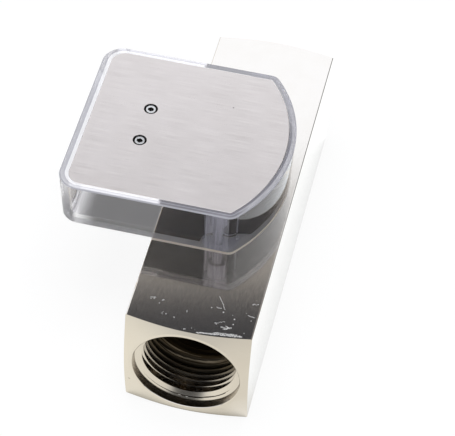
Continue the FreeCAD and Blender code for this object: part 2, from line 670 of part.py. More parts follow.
NODES = {
    "flow_block": flow_block(),
    "measuring_sleeve": measuring_sleeve(),
    "sleeve_seal": sleeve_seal(),
    "inlet_spider": spider(sleeve_end),
    "outlet_spider": spider(-stack_end),
    "retaining_ring": retaining_ring(),
    "guide_rod": guide_rod(),
    "guide_rod_nuts": guide_rod_nuts(),
    "piston": piston(),
    "piston_magnet": piston_magnet(),
    "magnet_cap": magnet_cap(),
    "piston_bushes": piston_bushes(),
    "spring_seat": spring_seat(),
    "return_spring": return_spring(),
    "indicator_housing": indicator_housing(),
    "housing_screws": housing_screws(),
    "cover_plate": cover_plate(),
    "cover_screws": cover_screws(),
    "upper_bridge": bridge(pillar_top),
    "lower_bridge": bridge(lower_bridge_z),
    "bridge_pillars": bridge_pillars(),
    "bridge_screws": bridge_screws(),
    "pivot_bushes": pivot_bushes(),
    "pivot_staff": pivot_staff(),
    "pointer_hub": pointer_hub(),
    "pointer_arm": pointer_arm(),
    "pointer_magnet": pointer_magnet(),
    "pointer_magnet_cup": pointer_magnet_cup(),
    "pointer_flag": pointer_flag(),
    "counterweight": counterweight(),
}

os.makedirs("parts", exist_ok=True)
for node, shape in NODES.items():
    shape.exportStep(f"parts/{node}.step")
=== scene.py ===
import json
import math

import bmesh
import bpy
from mathutils import Matrix, Vector
from mathutils.geometry import intersect_point_line


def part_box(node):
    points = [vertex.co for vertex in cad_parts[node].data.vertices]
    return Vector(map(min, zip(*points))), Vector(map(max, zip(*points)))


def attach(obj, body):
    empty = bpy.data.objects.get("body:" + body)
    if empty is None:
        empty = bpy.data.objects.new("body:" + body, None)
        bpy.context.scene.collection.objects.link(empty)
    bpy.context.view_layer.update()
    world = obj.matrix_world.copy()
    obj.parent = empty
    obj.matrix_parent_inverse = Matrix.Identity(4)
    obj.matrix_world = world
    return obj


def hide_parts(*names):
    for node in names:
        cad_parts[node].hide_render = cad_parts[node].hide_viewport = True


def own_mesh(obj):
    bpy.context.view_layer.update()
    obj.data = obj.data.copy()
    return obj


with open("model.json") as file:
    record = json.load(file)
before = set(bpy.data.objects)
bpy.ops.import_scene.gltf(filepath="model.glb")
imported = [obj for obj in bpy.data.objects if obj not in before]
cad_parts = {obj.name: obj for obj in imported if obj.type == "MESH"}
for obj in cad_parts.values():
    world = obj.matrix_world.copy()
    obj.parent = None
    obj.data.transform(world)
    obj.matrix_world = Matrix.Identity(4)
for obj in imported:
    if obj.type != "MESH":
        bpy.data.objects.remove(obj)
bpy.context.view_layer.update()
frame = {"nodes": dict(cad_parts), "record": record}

scene = bpy.context.scene
MM = 0.001
SIDES = (-1, 1)

# Places and sizes read from the frame, in metres
block_low, block_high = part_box("flow_block")
tray_low, tray_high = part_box("indicator_housing")
plate_low, plate_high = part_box("cover_plate")
screw_low, screw_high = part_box("cover_screws")
cap_screw_low, cap_screw_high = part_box("housing_screws")
spring_low, spring_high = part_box("return_spring")
joints = {joint["name"]: joint for joint in frame["record"]["behaviour"]["joints"]}
half_bar = block_high.x
flow_z = (block_low.z + block_high.z) / 2
bar_end = block_high.y
pivot_x = joints["pointer_swing"]["pos_m"][0]
rim_z = tray_high.z
plate_seat = plate_low.z

# Flow block
EDGE_ROUND = 0.4 * MM
END_FACE_RADIUS = half_bar - 1.5 * MM
END_SLOPE = math.tan(math.radians(15))
LEAD_RADIUS = 17.3 * MM
LEAD_EDGE = 0.15 * MM
LEAD_LENGTH = 2.9 * MM
SHOULDER_SLOPE = 1.9
THREAD_MAJOR = 16.625 * MM
THREAD_PITCH = 2.309 * MM
THREAD_DEPTH = 0.6403 * THREAD_PITCH
THREAD_MINOR = THREAD_MAJOR - THREAD_DEPTH
THREAD_SHARP_HEIGHT = 0.9605 * THREAD_PITCH
THREAD_TRUNCATION = 0.16 * THREAD_PITCH
THREAD_LENGTH = 16.0 * MM
THREAD_RUN_OUT = 0.5 * MM
RUN_OUT_SLOPE = 0.8
THREAD_STEPS_PER_PITCH = 16
THREAD_START = 0.5
THREAD_EDGES = (1 / 12, 5 / 12, 7 / 12, 11 / 12)
THREAD_SHARP_ANGLE = math.radians(9)
PORT_DEPTH = 19.0 * MM
CHAMBER_RADIUS = 13.5 * MM
CHAMBER_END = 42.5 * MM
THROAT_RADIUS = 11.5 * MM
RING_GROOVE_DEPTH = 0.9 * MM
RING_GROOVE_WIDTH = 1.3 * MM
POINTS_PER_FLAT = 56
POINTS_PER_EDGE = 4

# Clear tray
ARC_RADIUS = tray_high.x - pivot_x
HALF_WIDTH = tray_high.y
DRAFT = math.tan(math.radians(2.6))
BACK_CORNER = 7.0 * MM
ARC_CORNER = 3.5 * MM
SMALLEST_CORNER = 0.6 * MM
BACK_CORNER_POINTS = 14
ARC_POINTS = 30
ARC_CORNER_POINTS = 10
RIM_BREAK = 0.4 * MM
BASE_BREAK = 0.5 * MM
RIM_WIDTH = 2.3 * MM
RIM_EXTRA_AT_BACK = 0.7 * MM
RIM_STRIPS = (0.42, 0.54)
RIM_LINE = (1.1 * MM, 1.75 * MM)
PLATE_LEDGE = 1.0 * MM
TRAY_FLOOR = 2.4 * MM
FLOOR_CHAMFER = 0.45 * MM
FOOT_WIDTH = 5.2 * MM
FOOT_CORNER = 5.5 * MM
FOOT_CORNER_POINTS = 13
WALL_SKIN = 0.6 * MM
POST_FOOT = 5.0 * MM
POST_BAND = 3.3 * MM
POST_RADIUS = 4.0 * MM
POST_POINTS = 25
POST_SKIN = 0.02 * POST_RADIUS
POST_FRONT = 0.4 * POST_RADIUS
POST_BORE = 1.6 * MM
POST_COUNTERBORE = 2.85 * MM
POST_SEAT_DEPTH = 6.6 * MM
SEAT_GAP = 0.05 * MM
CAP_HEAD_RADIUS = 2.75 * MM
post_x = (cap_screw_low.x + cap_screw_high.x) / 2
post_y = cap_screw_high.y - CAP_HEAD_RADIUS
foot_limit = tray_low.z + 2 * SEAT_GAP
ledge_limit = plate_seat - 2 * SEAT_GAP
BREAK_END = 0.1

# Cover plate and its screws
PLATE_INSET = RIM_WIDTH + 0.08 * MM
PLATE_EDGE = 0.12 * MM
SINK_RADIUS = 2.28 * MM
SINK_NECK = 1.35 * MM
SINK_STRAIGHT = 0.1 * MM
CAD_HEAD_RADIUS = 2.05 * MM
screw_y = screw_high.y - CAD_HEAD_RADIUS
SCREW_HEAD_RADIUS = 1.64 * MM
SCREW_SHANK_RADIUS = 1.25 * MM
SCREW_EDGE = 0.1 * MM
SOCKET_FLAT = 0.85 * MM
SOCKET_DEPTH = 1.0 * MM

# Return spring
SPRING_COILS = 6
SPRING_WIRE = 0.3 * MM
SPRING_STEPS = 40
SPRING_SIDES = 10
SPRING_SHARP_ANGLE = math.radians(50)
spring_radius = spring_high.x - SPRING_WIRE

# Meshes in general
SHARP_ANGLE = math.radians(20)
WELD_GAP = 1e-7
ROUND_POINTS = 48


# Mesh tools
def place(mesh, finish, slot, body, *nodes):
    """Put a finished mesh in the scene, under its own name, in place of some nodes."""
    piece = bpy.data.objects.new(mesh.name, mesh)
    scene.collection.objects.link(piece)
    mesh.materials.append(finishes[finish])
    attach(piece, body)
    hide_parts(*nodes)
    return piece


def finish_mesh(bm, name, sharp_angle=SHARP_ANGLE):
    """Face the mesh outwards, smooth it and keep the edges that turn by more than an angle."""
    bmesh.ops.remove_doubles(bm, verts=bm.verts, dist=WELD_GAP)
    bmesh.ops.recalc_face_normals(bm, faces=bm.faces)
    for face in bm.faces:
        face.smooth = True
    for edge in bm.edges:
        edge.smooth = len(edge.link_faces) == 2 and edge.calc_face_angle() < sharp_angle
    mesh = bpy.data.meshes.new(name)
    bm.to_mesh(mesh)
    bm.free()
    return mesh


def add_loop(bm, points):
    """A closed run of vertices and edges."""
    verts = [bm.verts.new(point) for point in points]
    for first, second in zip(verts, verts[1:] + verts[:1]):
        bm.edges.new((first, second))
    return verts


def bridge_loops(bm, first, second, split=False):
    """Faces between two loops of as many points: quads, or triangles along a climbing thread."""
    for at, one in enumerate(first):
        after = (at + 1) % len(first)
        if split:
            bm.faces.new((one, first[after], second[at]))
            bm.faces.new((first[after], second[after], second[at]))
        else:
            bm.faces.new((one, first[after], second[after], second[at]))


def stack_loops(bm, loops, split=False):
    """Faces along a row of loops; gives back their vertices."""
    rows = [add_loop(bm, loop) for loop in loops]
    for first, second in zip(rows, rows[1:]):
        bridge_loops(bm, first, second, split)
    return rows


def loop_edges(bm, loop):
    """The edges that run round a loop of vertices."""
    return [bm.edges.get(pair) for pair in zip(loop, loop[1:] + loop[:1])]


def fill_flat(bm, *loops):
    """Flat face inside the first loop and outside the others."""
    edges = [edge for loop in loops for edge in loop_edges(bm, loop)]
    bmesh.ops.triangle_fill(bm, edges=edges, use_beauty=True)


def even_turns(count):
    """Angles evenly round a circle."""
    return [2 * math.pi * step / count for step in range(count)]


def circle(radius, z, x, y):
    """Points round an upright axis."""
    turns = even_turns(ROUND_POINTS)
    return [Vector((x + radius * math.cos(turn), y + radius * math.sin(turn), z)) for turn in turns]


def arc(centre, radius, start, end, count):
    """Points along an arc, in degrees, with both ends."""
    turns = [math.radians(start + (end - start) * step / (count - 1)) for step in range(count)]
    return [(centre[0] + radius * math.cos(turn), centre[1] + radius * math.sin(turn)) for turn in turns]


def at_height(outline, z):
    """Lift a flat outline to a height."""
    return [Vector((x, y, z)) for x, y in outline]


# Flow block
def bar_outline():
    """Square section with rounded edges, as (x, z) about the flow axis."""
    flat = half_bar - EDGE_ROUND
    reach = math.degrees(math.atan2(flat, half_bar))
    side = []
    for step in range(1, POINTS_PER_FLAT):
        turn = math.radians(-reach + 2 * reach * step / POINTS_PER_FLAT)
        side.append((half_bar, half_bar * math.tan(turn)))
    side += arc((flat, flat), EDGE_ROUND, 0, 90, POINTS_PER_EDGE + 1)
    outline = []
    for cos, sin in ((1, 0), (0, 1), (-1, 0), (0, -1)):
        outline += [(x * cos - z * sin, x * sin + z * cos) for x, z in side]
    return outline


def thread_radius(depth, turn):
    """Pipe thread: radius at a depth behind the mouth and a turn about the axis."""
    phase = (depth / THREAD_PITCH + turn + THREAD_START) % 1
    height = THREAD_SHARP_HEIGHT * (1 - abs(2 * phase - 1)) - THREAD_TRUNCATION
    radius = THREAD_MAJOR - min(max(height, 0), THREAD_DEPTH)
    lead = LEAD_RADIUS - depth * SHOULDER_SLOPE
    run_out = THREAD_MINOR + max(THREAD_LENGTH - depth, 0) * RUN_OUT_SLOPE
    return max(min(radius, run_out), lead, THREAD_MINOR)


def thread_row(before, depth, after, turn):
    """Depth at which a row meets the thread: on a crest's or root's edge, if one is nearest to it."""
    for edge in THREAD_EDGES:
        gap = ((edge - turn - THREAD_START - depth / THREAD_PITCH + 0.5) % 1 - 0.5) * THREAD_PITCH
        if (before - depth) / 2 < gap <= (after - depth) / 2:
            return depth + gap
    return depth


def flow_block_mesh():
    """The bar's skin, its two threaded ports and the chamber between them, as one closed grid."""
    outline = [Vector((x, 0, z)) for x, z in bar_outline()]
    rays = [point.normalized() for point in outline]
    axis = Vector((0, 0, flow_z))
    floor = bar_end - PORT_DEPTH

    def ring(radius, y):
        return [axis + ray * radius + Vector((0, y, 0)) for ray in rays]

    def bar_edge(side):
        loop = []
        for point in outline:
            y = bar_end - (point.length - END_FACE_RADIUS) * END_SLOPE
            loop.append(axis + point + Vector((0, side * y, 0)))
        return loop

    def port(side):
        mouth = bar_end - LEAD_LENGTH
        loops = [
            ring(END_FACE_RADIUS, side * bar_end), ring(LEAD_RADIUS + LEAD_EDGE, side * bar_end),
            ring(LEAD_RADIUS, side * (bar_end - LEAD_EDGE)), ring(LEAD_RADIUS, side * mouth),
        ]
        steps = round((THREAD_LENGTH + THREAD_RUN_OUT) / THREAD_PITCH * THREAD_STEPS_PER_PITCH)
        depths = [step * THREAD_PITCH / THREAD_STEPS_PER_PITCH for step in range(1, steps + 1)]
        depths += [(LEAD_RADIUS - radius) / SHOULDER_SLOPE for radius in (THREAD_MAJOR, THREAD_MINOR)]
        depths.sort()
        for before, row, after in zip([0] + depths, depths, depths[1:] + [depths[-1]]):
            loop = []
            for ray in rays:
                turn = side * math.atan2(ray.z, ray.x) / (2 * math.pi)
                depth = thread_row(before, row, after, turn)
                y = side * (mouth - depth)
                loop.append(axis + ray * thread_radius(depth, turn) + Vector((0, y, 0)))
            loops.append(loop)
        loops.append(ring(THREAD_MINOR, side * floor))
        return loops

    groove = CHAMBER_END + RING_GROOVE_WIDTH
    groove_radius = CHAMBER_RADIUS + RING_GROOVE_DEPTH
    chamber = [
        ring(CHAMBER_RADIUS, floor), ring(CHAMBER_RADIUS, groove), ring(groove_radius, groove),
        ring(groove_radius, CHAMBER_END), ring(CHAMBER_RADIUS, CHAMBER_END), ring(CHAMBER_RADIUS, -CHAMBER_END),
        ring(THROAT_RADIUS, -CHAMBER_END), ring(THROAT_RADIUS, -floor),
    ]
    loops = [bar_edge(-1), bar_edge(1)] + port(1) + chamber + port(-1)[::-1]
    bm = bmesh.new()
    rows = stack_loops(bm, loops, split=True)
    bridge_loops(bm, rows[-1], rows[0], split=True)
    return finish_mesh(bm, "flow_block_body", THREAD_SHARP_ANGLE)


# Clear tray
def whole_outline(half):
    """Close a half outline with its mirror image."""
    return half + [(x, -y) for x, y in half[-2:0:-1]]


def with_back(front, inset, back_extra):
    """Close half of a front run with a round back corner and the mirror image."""
    half = HALF_WIDTH - inset
    back = tray_low.x + back_extra + inset
    corner = max(BACK_CORNER - inset, SMALLEST_CORNER)
    turn = arc((back + corner, half - corner), corner, 90, 180, BACK_CORNER_POINTS)
    return whole_outline(front + turn + [(back, 0.0)])


def tray_outline(inset, back_extra=0.0):
    """The tray's form drawn inwards by inset from the rim."""
    half = HALF_WIDTH - inset
    radius = ARC_RADIUS - inset
    corner = max(ARC_CORNER - inset, SMALLEST_CORNER)
    reach = math.sqrt((radius - corner) ** 2 - (half - corner) ** 2)
    turn = math.degrees(math.atan2(half - corner, reach))
    front = arc((pivot_x, 0), radius, 0, turn, ARC_POINTS)
    front += arc((pivot_x + reach, half - corner), corner, turn, 90, ARC_CORNER_POINTS)[1:]
    front += [(post_x - POST_BAND, half)]
    return with_back(front, inset, back_extra)


def cavity_outline(inset, back_extra):
    """The tray's inside, which runs round the corner posts."""
    half = HALF_WIDTH - inset
    radius = ARC_RADIUS - inset
    turn = math.degrees(math.asin(post_y / radius))
    front = arc((pivot_x, 0), radius, 0, turn, ARC_POINTS)
    front += arc((post_x, post_y), POST_RADIUS, 360, 180, POST_POINTS)
    front += [(post_x - POST_RADIUS, half)]
    return with_back(front, inset, back_extra)


def foot_outline(inset):
    """The inner edge of the tray's foot, which keeps clear of the posts."""
    half = HALF_WIDTH - inset
    radius = ARC_RADIUS - inset
    back = tray_low.x + inset
    turn = math.degrees(math.asin((post_y - FOOT_CORNER) / radius))
    run = arc((pivot_x, 0), radius, 0, turn, ARC_POINTS)
    run += arc((post_x, post_y), FOOT_CORNER, 270, 180, FOOT_CORNER_POINTS)
    return whole_outline(run + [(post_x - FOOT_CORNER, half), (back, half), (back, 0.0)])


def near_post(x, y):
    """Whether a place on the positive side of the foot belongs to a post."""
    return math.hypot(max(post_x - x, 0), max(post_y - y, 0)) < FOOT_CORNER


def tray_mesh():
    """Drafted clear tray with a flat rim, a ledge for the plate and a solid post in each arc corner."""
    bm = bmesh.new()
    foot = tray_low.z + SEAT_GAP
    ledge = plate_seat - SEAT_GAP
    floor_z = tray_low.z + TRAY_FLOOR
    seat = plate_seat - POST_SEAT_DEPTH

    def outer(z, extra=0.0):
        return at_height(tray_outline((rim_z - z) * DRAFT + extra), z)

    def across_rim(share):
        inset = RIM_BREAK + share * (RIM_WIDTH - RIM_BREAK)
        return at_height(tray_outline(inset, share * RIM_EXTRA_AT_BACK), rim_z)

    def inner(z, extra=0.0):
        inset = RIM_WIDTH + PLATE_LEDGE + (rim_z - z) * DRAFT + extra
        return at_height(cavity_outline(inset, RIM_EXTRA_AT_BACK), z)

    recess = tray_outline(RIM_WIDTH, RIM_EXTRA_AT_BACK)
    skin = stack_loops(bm, [
        outer(foot, BASE_BREAK), outer(foot + BASE_BREAK), outer(rim_z - RIM_BREAK), outer(rim_z, RIM_BREAK),
        *[across_rim(share) for share in RIM_STRIPS], at_height(recess, rim_z), at_height(recess, ledge),
    ])
    cavity = stack_loops(bm, [inner(ledge), inner(floor_z + FLOOR_CHAMFER), inner(floor_z, FLOOR_CHAMFER)])
    steps = (
        (POST_COUNTERBORE, ledge), (POST_COUNTERBORE, seat), (POST_BORE, seat), (POST_BORE, foot),
        (POST_FOOT, foot),
    )
    bores = []
    for side in SIDES:
        bores.append(stack_loops(bm, [circle(radius, z, post_x, side * post_y) for radius, z in steps]))
    fill_flat(bm, skin[-1], cavity[0], *[bore[0] for bore in bores])
    fill_flat(bm, cavity[-1])
    under_floor = add_loop(bm, at_height(foot_outline(FOOT_WIDTH), foot))
    fill_flat(bm, skin[0], under_floor, *[bore[-1] for bore in bores])
    fill_flat(bm, under_floor)
    return finish_mesh(bm, "clear_tray")


def mirrored_place(face):
    """The middle of a face, brought to the positive side of the tray."""
    return face.center.x, abs(face.center.y), face.center.z


def between_breaks(z):
    """Whether a height lies on the tray's walls, clear of their broken edges."""
    return rim_z - 2 * RIM_BREAK > z > tray_low.z + 2 * BASE_BREAK


def inside_by(x, y, inset):
    """Whether a place lies further in than an inset from the rim's outline."""
    inside = x > tray_low.x + inset and y < HALF_WIDTH - inset
    return inside and math.hypot(x - pivot_x, y) < ARC_RADIUS - inset


def on_break(face, low, size):
    """Whether a face lies on a broken edge, clear of its ends."""
    return BREAK_END < (face.center.z - low) / size < 1 - BREAK_END


def floor_edge(face):
    """The chamfer round the tray's floor keeps the cutter's dull finish."""
    return on_break(face, tray_low.z + TRAY_FLOOR, FLOOR_CHAMFER)


def base_edge(face):
    """The tray's lower broken edge, which shows as a white line: nearly opaque white, a painted highlight."""
    return on_break(face, tray_low.z + SEAT_GAP, BASE_BREAK)


def rim_edge(face):
    """The rim's broken edge, half polished and painted grey: painted shade along the edge."""
    return on_break(face, rim_z - RIM_BREAK, RIM_BREAK)


def rim_top(face):
    """The flat rim round the plate."""
    return face.center.z > rim_z - BREAK_END * RIM_BREAK


def rim_depth(face):
    """How far a face of the rim lies from the rim's outer edge."""
    at = Vector((face.center.x, face.center.y, 0))
    edge = at_height(tray_outline(0.0), 0)
    gaps = []
    for first, second in zip(edge, edge[1:] + edge[:1]):
        nearest, share = intersect_point_line(at, first, second)
        if 0 <= share <= 1:
            gaps.append((at - nearest).length)
    return min(gaps)


def rim_line(face):
    """A grey line painted on the rim, where the ledge's edge shows through it: a painted image of that edge."""
    return rim_top(face) and RIM_LINE[0] < rim_depth(face) < RIM_LINE[1]


def rim_inside(face):
    """The rim's inner strip, above the ledge that carries the plate, made largely opaque white as a painted
    highlight.
    """
    return rim_top(face) and rim_depth(face) > RIM_LINE[1]


def tray_inside(face):
    """The cavity's walls and floor, and the underside that lies on the bar."""
    x, y, z = mirrored_place(face)
    wall = RIM_WIDTH + 0.5 * PLATE_LEDGE + (rim_z - z) * DRAFT
    return inside_by(x, y, wall) and z < ledge_limit


def tray_foot(face):
    """The underside below the walls and posts."""
    x, y, z = mirrored_place(face)
    return z < foot_limit and (near_post(x, y) or not inside_by(x, y, FOOT_WIDTH))


def post_side(face):
    """The posts' skins and feet, frosted and painted grey: painted shade in the posts."""
    x, y, z = mirrored_place(face)
    away = math.hypot(x - post_x, y - post_y)
    on_foot = z < foot_limit and away < POST_FOOT
    on_skin = abs(away - POST_RADIUS) < POST_SKIN and z < ledge_limit
    return on_foot or on_skin and x < post_x + POST_FRONT


def post_wall(face):
    """The tray's wall in front of a post, dulled by the cutter."""
    x, y, z = mirrored_place(face)
    outside = y > HALF_WIDTH - (rim_z - z) * DRAFT - WALL_SKIN
    return outside and x > post_x - POST_BAND and between_breaks(z)


def curved_wall(face):
    """The outside of the curved wall, polished to a gloss for reading."""
    x, y, z = mirrored_place(face)
    outside = math.hypot(x - pivot_x, y) > ARC_RADIUS - (rim_z - z) * DRAFT - WALL_SKIN
    return outside and between_breaks(z)


def screw_hole(face):
    """The drilled holes in the posts, painted dark grey: painted shade in the bores."""
    x, y, z = mirrored_place(face)
    in_hole = math.hypot(x - post_x, y - post_y) < POST_COUNTERBORE
    return in_hole and ledge_limit > z > foot_limit


# Cover plate and screws
def plate_mesh():
    """Plate with a broken edge and two countersunk holes."""
    bm = bmesh.new()

    def edge(extra, z):
        return at_height(tray_outline(PLATE_INSET + extra, RIM_EXTRA_AT_BACK), z)

    skin = stack_loops(bm, [
        edge(PLATE_EDGE, plate_low.z), edge(0, plate_low.z + PLATE_EDGE), edge(0, plate_high.z - PLATE_EDGE),
        edge(PLATE_EDGE, plate_high.z),
    ])
    cone_top = plate_high.z - SINK_STRAIGHT
    cone_foot = cone_top - (SINK_RADIUS - SINK_NECK)
    steps = (
        (SINK_RADIUS, plate_high.z), (SINK_RADIUS, cone_top), (SINK_NECK, cone_foot), (SINK_NECK, plate_low.z),
    )
    holes = []
    for side in SIDES:
        holes.append(stack_loops(bm, [circle(radius, z, pivot_x, side * screw_y) for radius, z in steps]))
    fill_flat(bm, skin[-1], *[hole[0] for hole in holes])
    fill_flat(bm, skin[0], *[hole[-1] for hole in holes])
    return finish_mesh(bm, "steel_plate")


def plate_back(face):
    """The plate's dark underside: painted shade under the plate."""
    return face.center.z < plate_low.z + PLATE_EDGE


def from_screw(face):
    """How far a face lies from the axis of the nearest cover screw."""
    return math.hypot(face.center.x - pivot_x, abs(face.center.y) - screw_y)


def plate_hole(face):
    """The plate's countersunk holes, painted near black: painted shade in the holes."""
    return from_screw(face) < SINK_RADIUS * 0.99


def plate_side(face):
    """The plate's cut edge."""
    return plate_low.z + PLATE_EDGE < face.center.z < plate_high.z - PLATE_EDGE


def cover_screw_mesh():
    """Countersunk screws with a hexagon socket."""
    bm = bmesh.new()
    top = screw_high.z
    neck = top - SCREW_EDGE - (SCREW_HEAD_RADIUS - SCREW_SHANK_RADIUS)
    rounds = (
        (SCREW_SHANK_RADIUS - SCREW_EDGE, screw_low.z), (SCREW_SHANK_RADIUS, screw_low.z + SCREW_EDGE),
        (SCREW_SHANK_RADIUS, neck), (SCREW_HEAD_RADIUS, top - SCREW_EDGE),
        (SCREW_HEAD_RADIUS - SCREW_EDGE, top),
    )
    socket = (
        (SOCKET_FLAT + SCREW_EDGE, top), (SOCKET_FLAT, top - SCREW_EDGE), (SOCKET_FLAT, top - SOCKET_DEPTH),
    )

    def hexagon(flat, z, centre):
        sixth = math.pi / 3
        loop = []
        for turn in even_turns(ROUND_POINTS):
            reach = flat / math.cos((turn + sixth / 2) % sixth - sixth / 2)
            loop.append(centre + Vector((reach * math.cos(turn), reach * math.sin(turn), z)))
        return loop

    for side in SIDES:
        centre = Vector((pivot_x, side * screw_y, 0))
        loops = [circle(radius, z, *centre.xy) for radius, z in rounds]
        rows = stack_loops(bm, loops + [hexagon(flat, z, centre) for flat, z in socket])
        bm.faces.new(rows[0])
        bm.faces.new(rows[-1])
    return finish_mesh(bm, "countersunk_screws")


def screw_socket(face):
    """The hexagon sockets are painted dark inside: painted shade in the sockets."""
    return from_screw(face) < 1.05 * SOCKET_FLAT and face.center.z < screw_high.z - SCREW_EDGE


# Return spring
def spring_mesh():
    """Round wire on a helix between the seat and the magnet cap."""
    bm = bmesh.new()
    steps = SPRING_COILS * SPRING_STEPS
    length = spring_high.y - spring_low.y - 2 * SPRING_WIRE
    along = Vector((0, 1, 0))
    angles = even_turns(SPRING_SIDES)
    loops = []
    for step in range(steps + 1):
        turn = 2 * math.pi * step / SPRING_STEPS
        out = Vector((math.cos(turn), 0, math.sin(turn)))
        centre = out * spring_radius + along * (spring_low.y + SPRING_WIRE + length * step / steps)
        centre.z += flow_z
        loops.append([centre + (out * math.cos(a) + along * math.sin(a)) * SPRING_WIRE for a in angles])
    rows = stack_loops(bm, loops)
    bm.faces.new(rows[0])
    bm.faces.new(rows[-1])
    return finish_mesh(bm, "coiled_wire", SPRING_SHARP_ANGLE)


# Node tools
MIX_SOCKETS = {"VECTOR": (4, 5, 1), "RGBA": (6, 7, 2)}


def feed(tree, socket, value):
    """Link a socket to another one, or set its value."""
    if isinstance(value, bpy.types.NodeSocket):
        tree.links.new(value, socket)
    else:
        socket.default_value = value


def add_node(tree, kind, *values, **settings):
    """A node with its settings and the values of its first inputs; gives back its outputs."""
    node = tree.nodes.new("ShaderNode" + kind)
    for name, value in settings.items():
        setattr(node, name, value)
    for socket, value in zip(node.inputs, values):
        feed(tree, socket, value)
    return node.outputs


def calculate(tree, operation, *values):
    """A sum on numbers."""
    return add_node(tree, "Math", *values, operation=operation)[0]


def product(tree, first, *others):
    """Masks or numbers multiplied."""
    for other in others:
        first = calculate(tree, "MULTIPLY", first, other)
    return first


def combine(tree, operation, *vectors):
    """A sum on vectors, which gives a vector or a number."""
    result = "Value" if operation in ("LENGTH", "DISTANCE", "DOT_PRODUCT") else "Vector"
    return add_node(tree, "VectorMath", *vectors, operation=operation)[result]


def fade(tree, value, start, end, low=0.0, high=1.0):
    """Soft step from low to high as the value goes from start to end."""
    return add_node(tree, "MapRange", value, start, end, low, high, interpolation_type="SMOOTHSTEP")["Result"]


def blend(tree, kind, share, first, second):
    """Mix of two vectors or colours."""
    node = tree.nodes.new("ShaderNodeMix")
    node.data_type = kind
    one, other, result = MIX_SOCKETS[kind]
    feed(tree, node.inputs["Factor"], share)
    feed(tree, node.inputs[one], first)
    feed(tree, node.inputs[other], second)
    return node.outputs[result]


def blend_colours(tree, share, *colours):
    """Mix of two colours, each given as a socket or as red, green and blue."""
    given = [colour if isinstance(colour, bpy.types.NodeSocket) else (*colour, 1) for colour in colours]
    return blend(tree, "RGBA", share, *given)


def surface_place(tree):
    """Where the surface point is, in the part's frame."""
    return add_node(tree, "TexCoord")["Object"]


def surface_normal(tree):
    """Which way the smooth surface faces."""
    return add_node(tree, "NewGeometry")["Normal"]


def noise(tree, place, scale, detail):
    """Soft noise over a place: its value and colour."""
    node = tree.nodes.new("ShaderNodeTexNoise")
    feed(tree, node.inputs["Vector"], place)
    feed(tree, node.inputs["Scale"], scale)
    node.inputs["Detail"].default_value = detail
    return node.outputs[0], node.outputs["Color"]


def shader_group(name, inputs, outputs):
    """A node group with named sockets, each a number or a vector; gives back the group and its two ends."""
    group = bpy.data.node_groups.new(name, "ShaderNodeTree")
    for way, sockets in (("INPUT", inputs), ("OUTPUT", outputs)):
        for socket, value in sockets.items():
            kind = "NodeSocketVector" if isinstance(value, tuple) else "NodeSocketFloat"
            group.interface.new_socket(socket, in_out=way, socket_type=kind).default_value = value
    return group, group.nodes.new("NodeGroupInput").outputs, group.nodes.new("NodeGroupOutput").inputs


def use_group(tree, group, **values):
    """Place a group in a material with its own values; gives back its outputs."""
    node = tree.nodes.new("ShaderNodeGroup")
    node.node_tree = group
    for name, value in values.items():
        feed(tree, node.inputs[name], value)
    return node.outputs


# Effects shared by several finishes
LINE_DETAIL = 2.0
BLOTCH_DETAIL = 4.0
SMALLEST_KNOCK = 0.3
KNOCK_CORE = 0.6
BAR_EDGE_FADE = (-half_bar + 1.7 * MM, -half_bar + 2.5 * MM)


def make_drawn_lines():
    """Fine lines left by a belt, a lathe or a brush: a mask and the normal they tilt."""
    group, given, result = shader_group(
        "drawn_lines", {"Stretch": (1000, 1000, 1000), "Tilt": (0, 0, 0)}, {"Lines": 0.0, "Normal": (0, 0, 0)},
    )
    stretched = combine(group, "MULTIPLY", surface_place(group), given["Stretch"])
    lines, swing = noise(group, stretched, 1.0, LINE_DETAIL)
    feed(group, result["Lines"], lines)
    swing = combine(group, "SUBTRACT", swing, (0.5, 0.5, 0.5))
    lean = combine(group, "MULTIPLY", swing, given["Tilt"])
    tilted = combine(group, "ADD", surface_normal(group), lean)
    feed(group, result["Normal"], combine(group, "NORMALIZE", tilted))
    return group


def make_blotches():
    """Broad uneven patches of a finish."""
    group, given, result = shader_group(
        "blotches", {"Scale": 100, "Low": 0.35, "High": 0.65}, {"Blotches": 0.0},
    )
    patches = noise(group, surface_place(group), given["Scale"], BLOTCH_DETAIL)[0]
    feed(group, result["Blotches"], fade(group, patches, given["Low"], given["High"]))
    return group


def make_knocks():
    """Scattered dents and scratches: in some cells of a stretched pattern, one small mark."""
    group, given, result = shader_group(
        "knocks", {"Stretch": (300, 300, 300), "Turn": (0, 0, 0), "Size": 0.2, "Share": 0.2}, {"Knocks": 0.0},
    )
    turned = group.nodes.new("ShaderNodeVectorRotate")
    turned.rotation_type = "EULER_XYZ"
    feed(group, turned.inputs["Vector"], surface_place(group))
    feed(group, turned.inputs["Rotation"], given["Turn"])
    cells = group.nodes.new("ShaderNodeTexVoronoi")
    cells.inputs["Scale"].default_value = 1.0
    feed(group, cells.inputs["Vector"], combine(group, "MULTIPLY", turned.outputs[0], given["Stretch"]))
    pick = add_node(group, "SeparateColor", cells.outputs["Color"])
    chosen = calculate(group, "LESS_THAN", pick[0], given["Share"])
    size = product(group, given["Size"], calculate(group, "ADD", pick[1], SMALLEST_KNOCK))
    mark = fade(group, cells.outputs["Distance"], product(group, size, KNOCK_CORE), size, 1.0, 0.0)
    feed(group, result["Knocks"], product(group, mark, chosen))
    return group


def make_over_bar():
    """Where clear plastic lies over the bar: a mask for painted shade that weakens from front to back."""
    group, given, result = shader_group(
        "over_bar", {"Strength": 1.0, "Front": 0.0, "Back": 0.01, "Remains": 0.0}, {"Over": 0.0},
    )
    x, y = add_node(group, "SeparateXYZ", surface_place(group))[:2]
    over = fade(group, x, *BAR_EDGE_FADE, 0.0, given["Strength"])
    weaker = fade(group, y, given["Front"], given["Back"], 1.0, given["Remains"])
    feed(group, result["Over"], product(group, over, weaker))
    return group


drawn_lines = make_drawn_lines()
blotches = make_blotches()
knocks = make_knocks()
over_bar = make_over_bar()


# Finishes
LINE_ROUGHNESS = 0.2


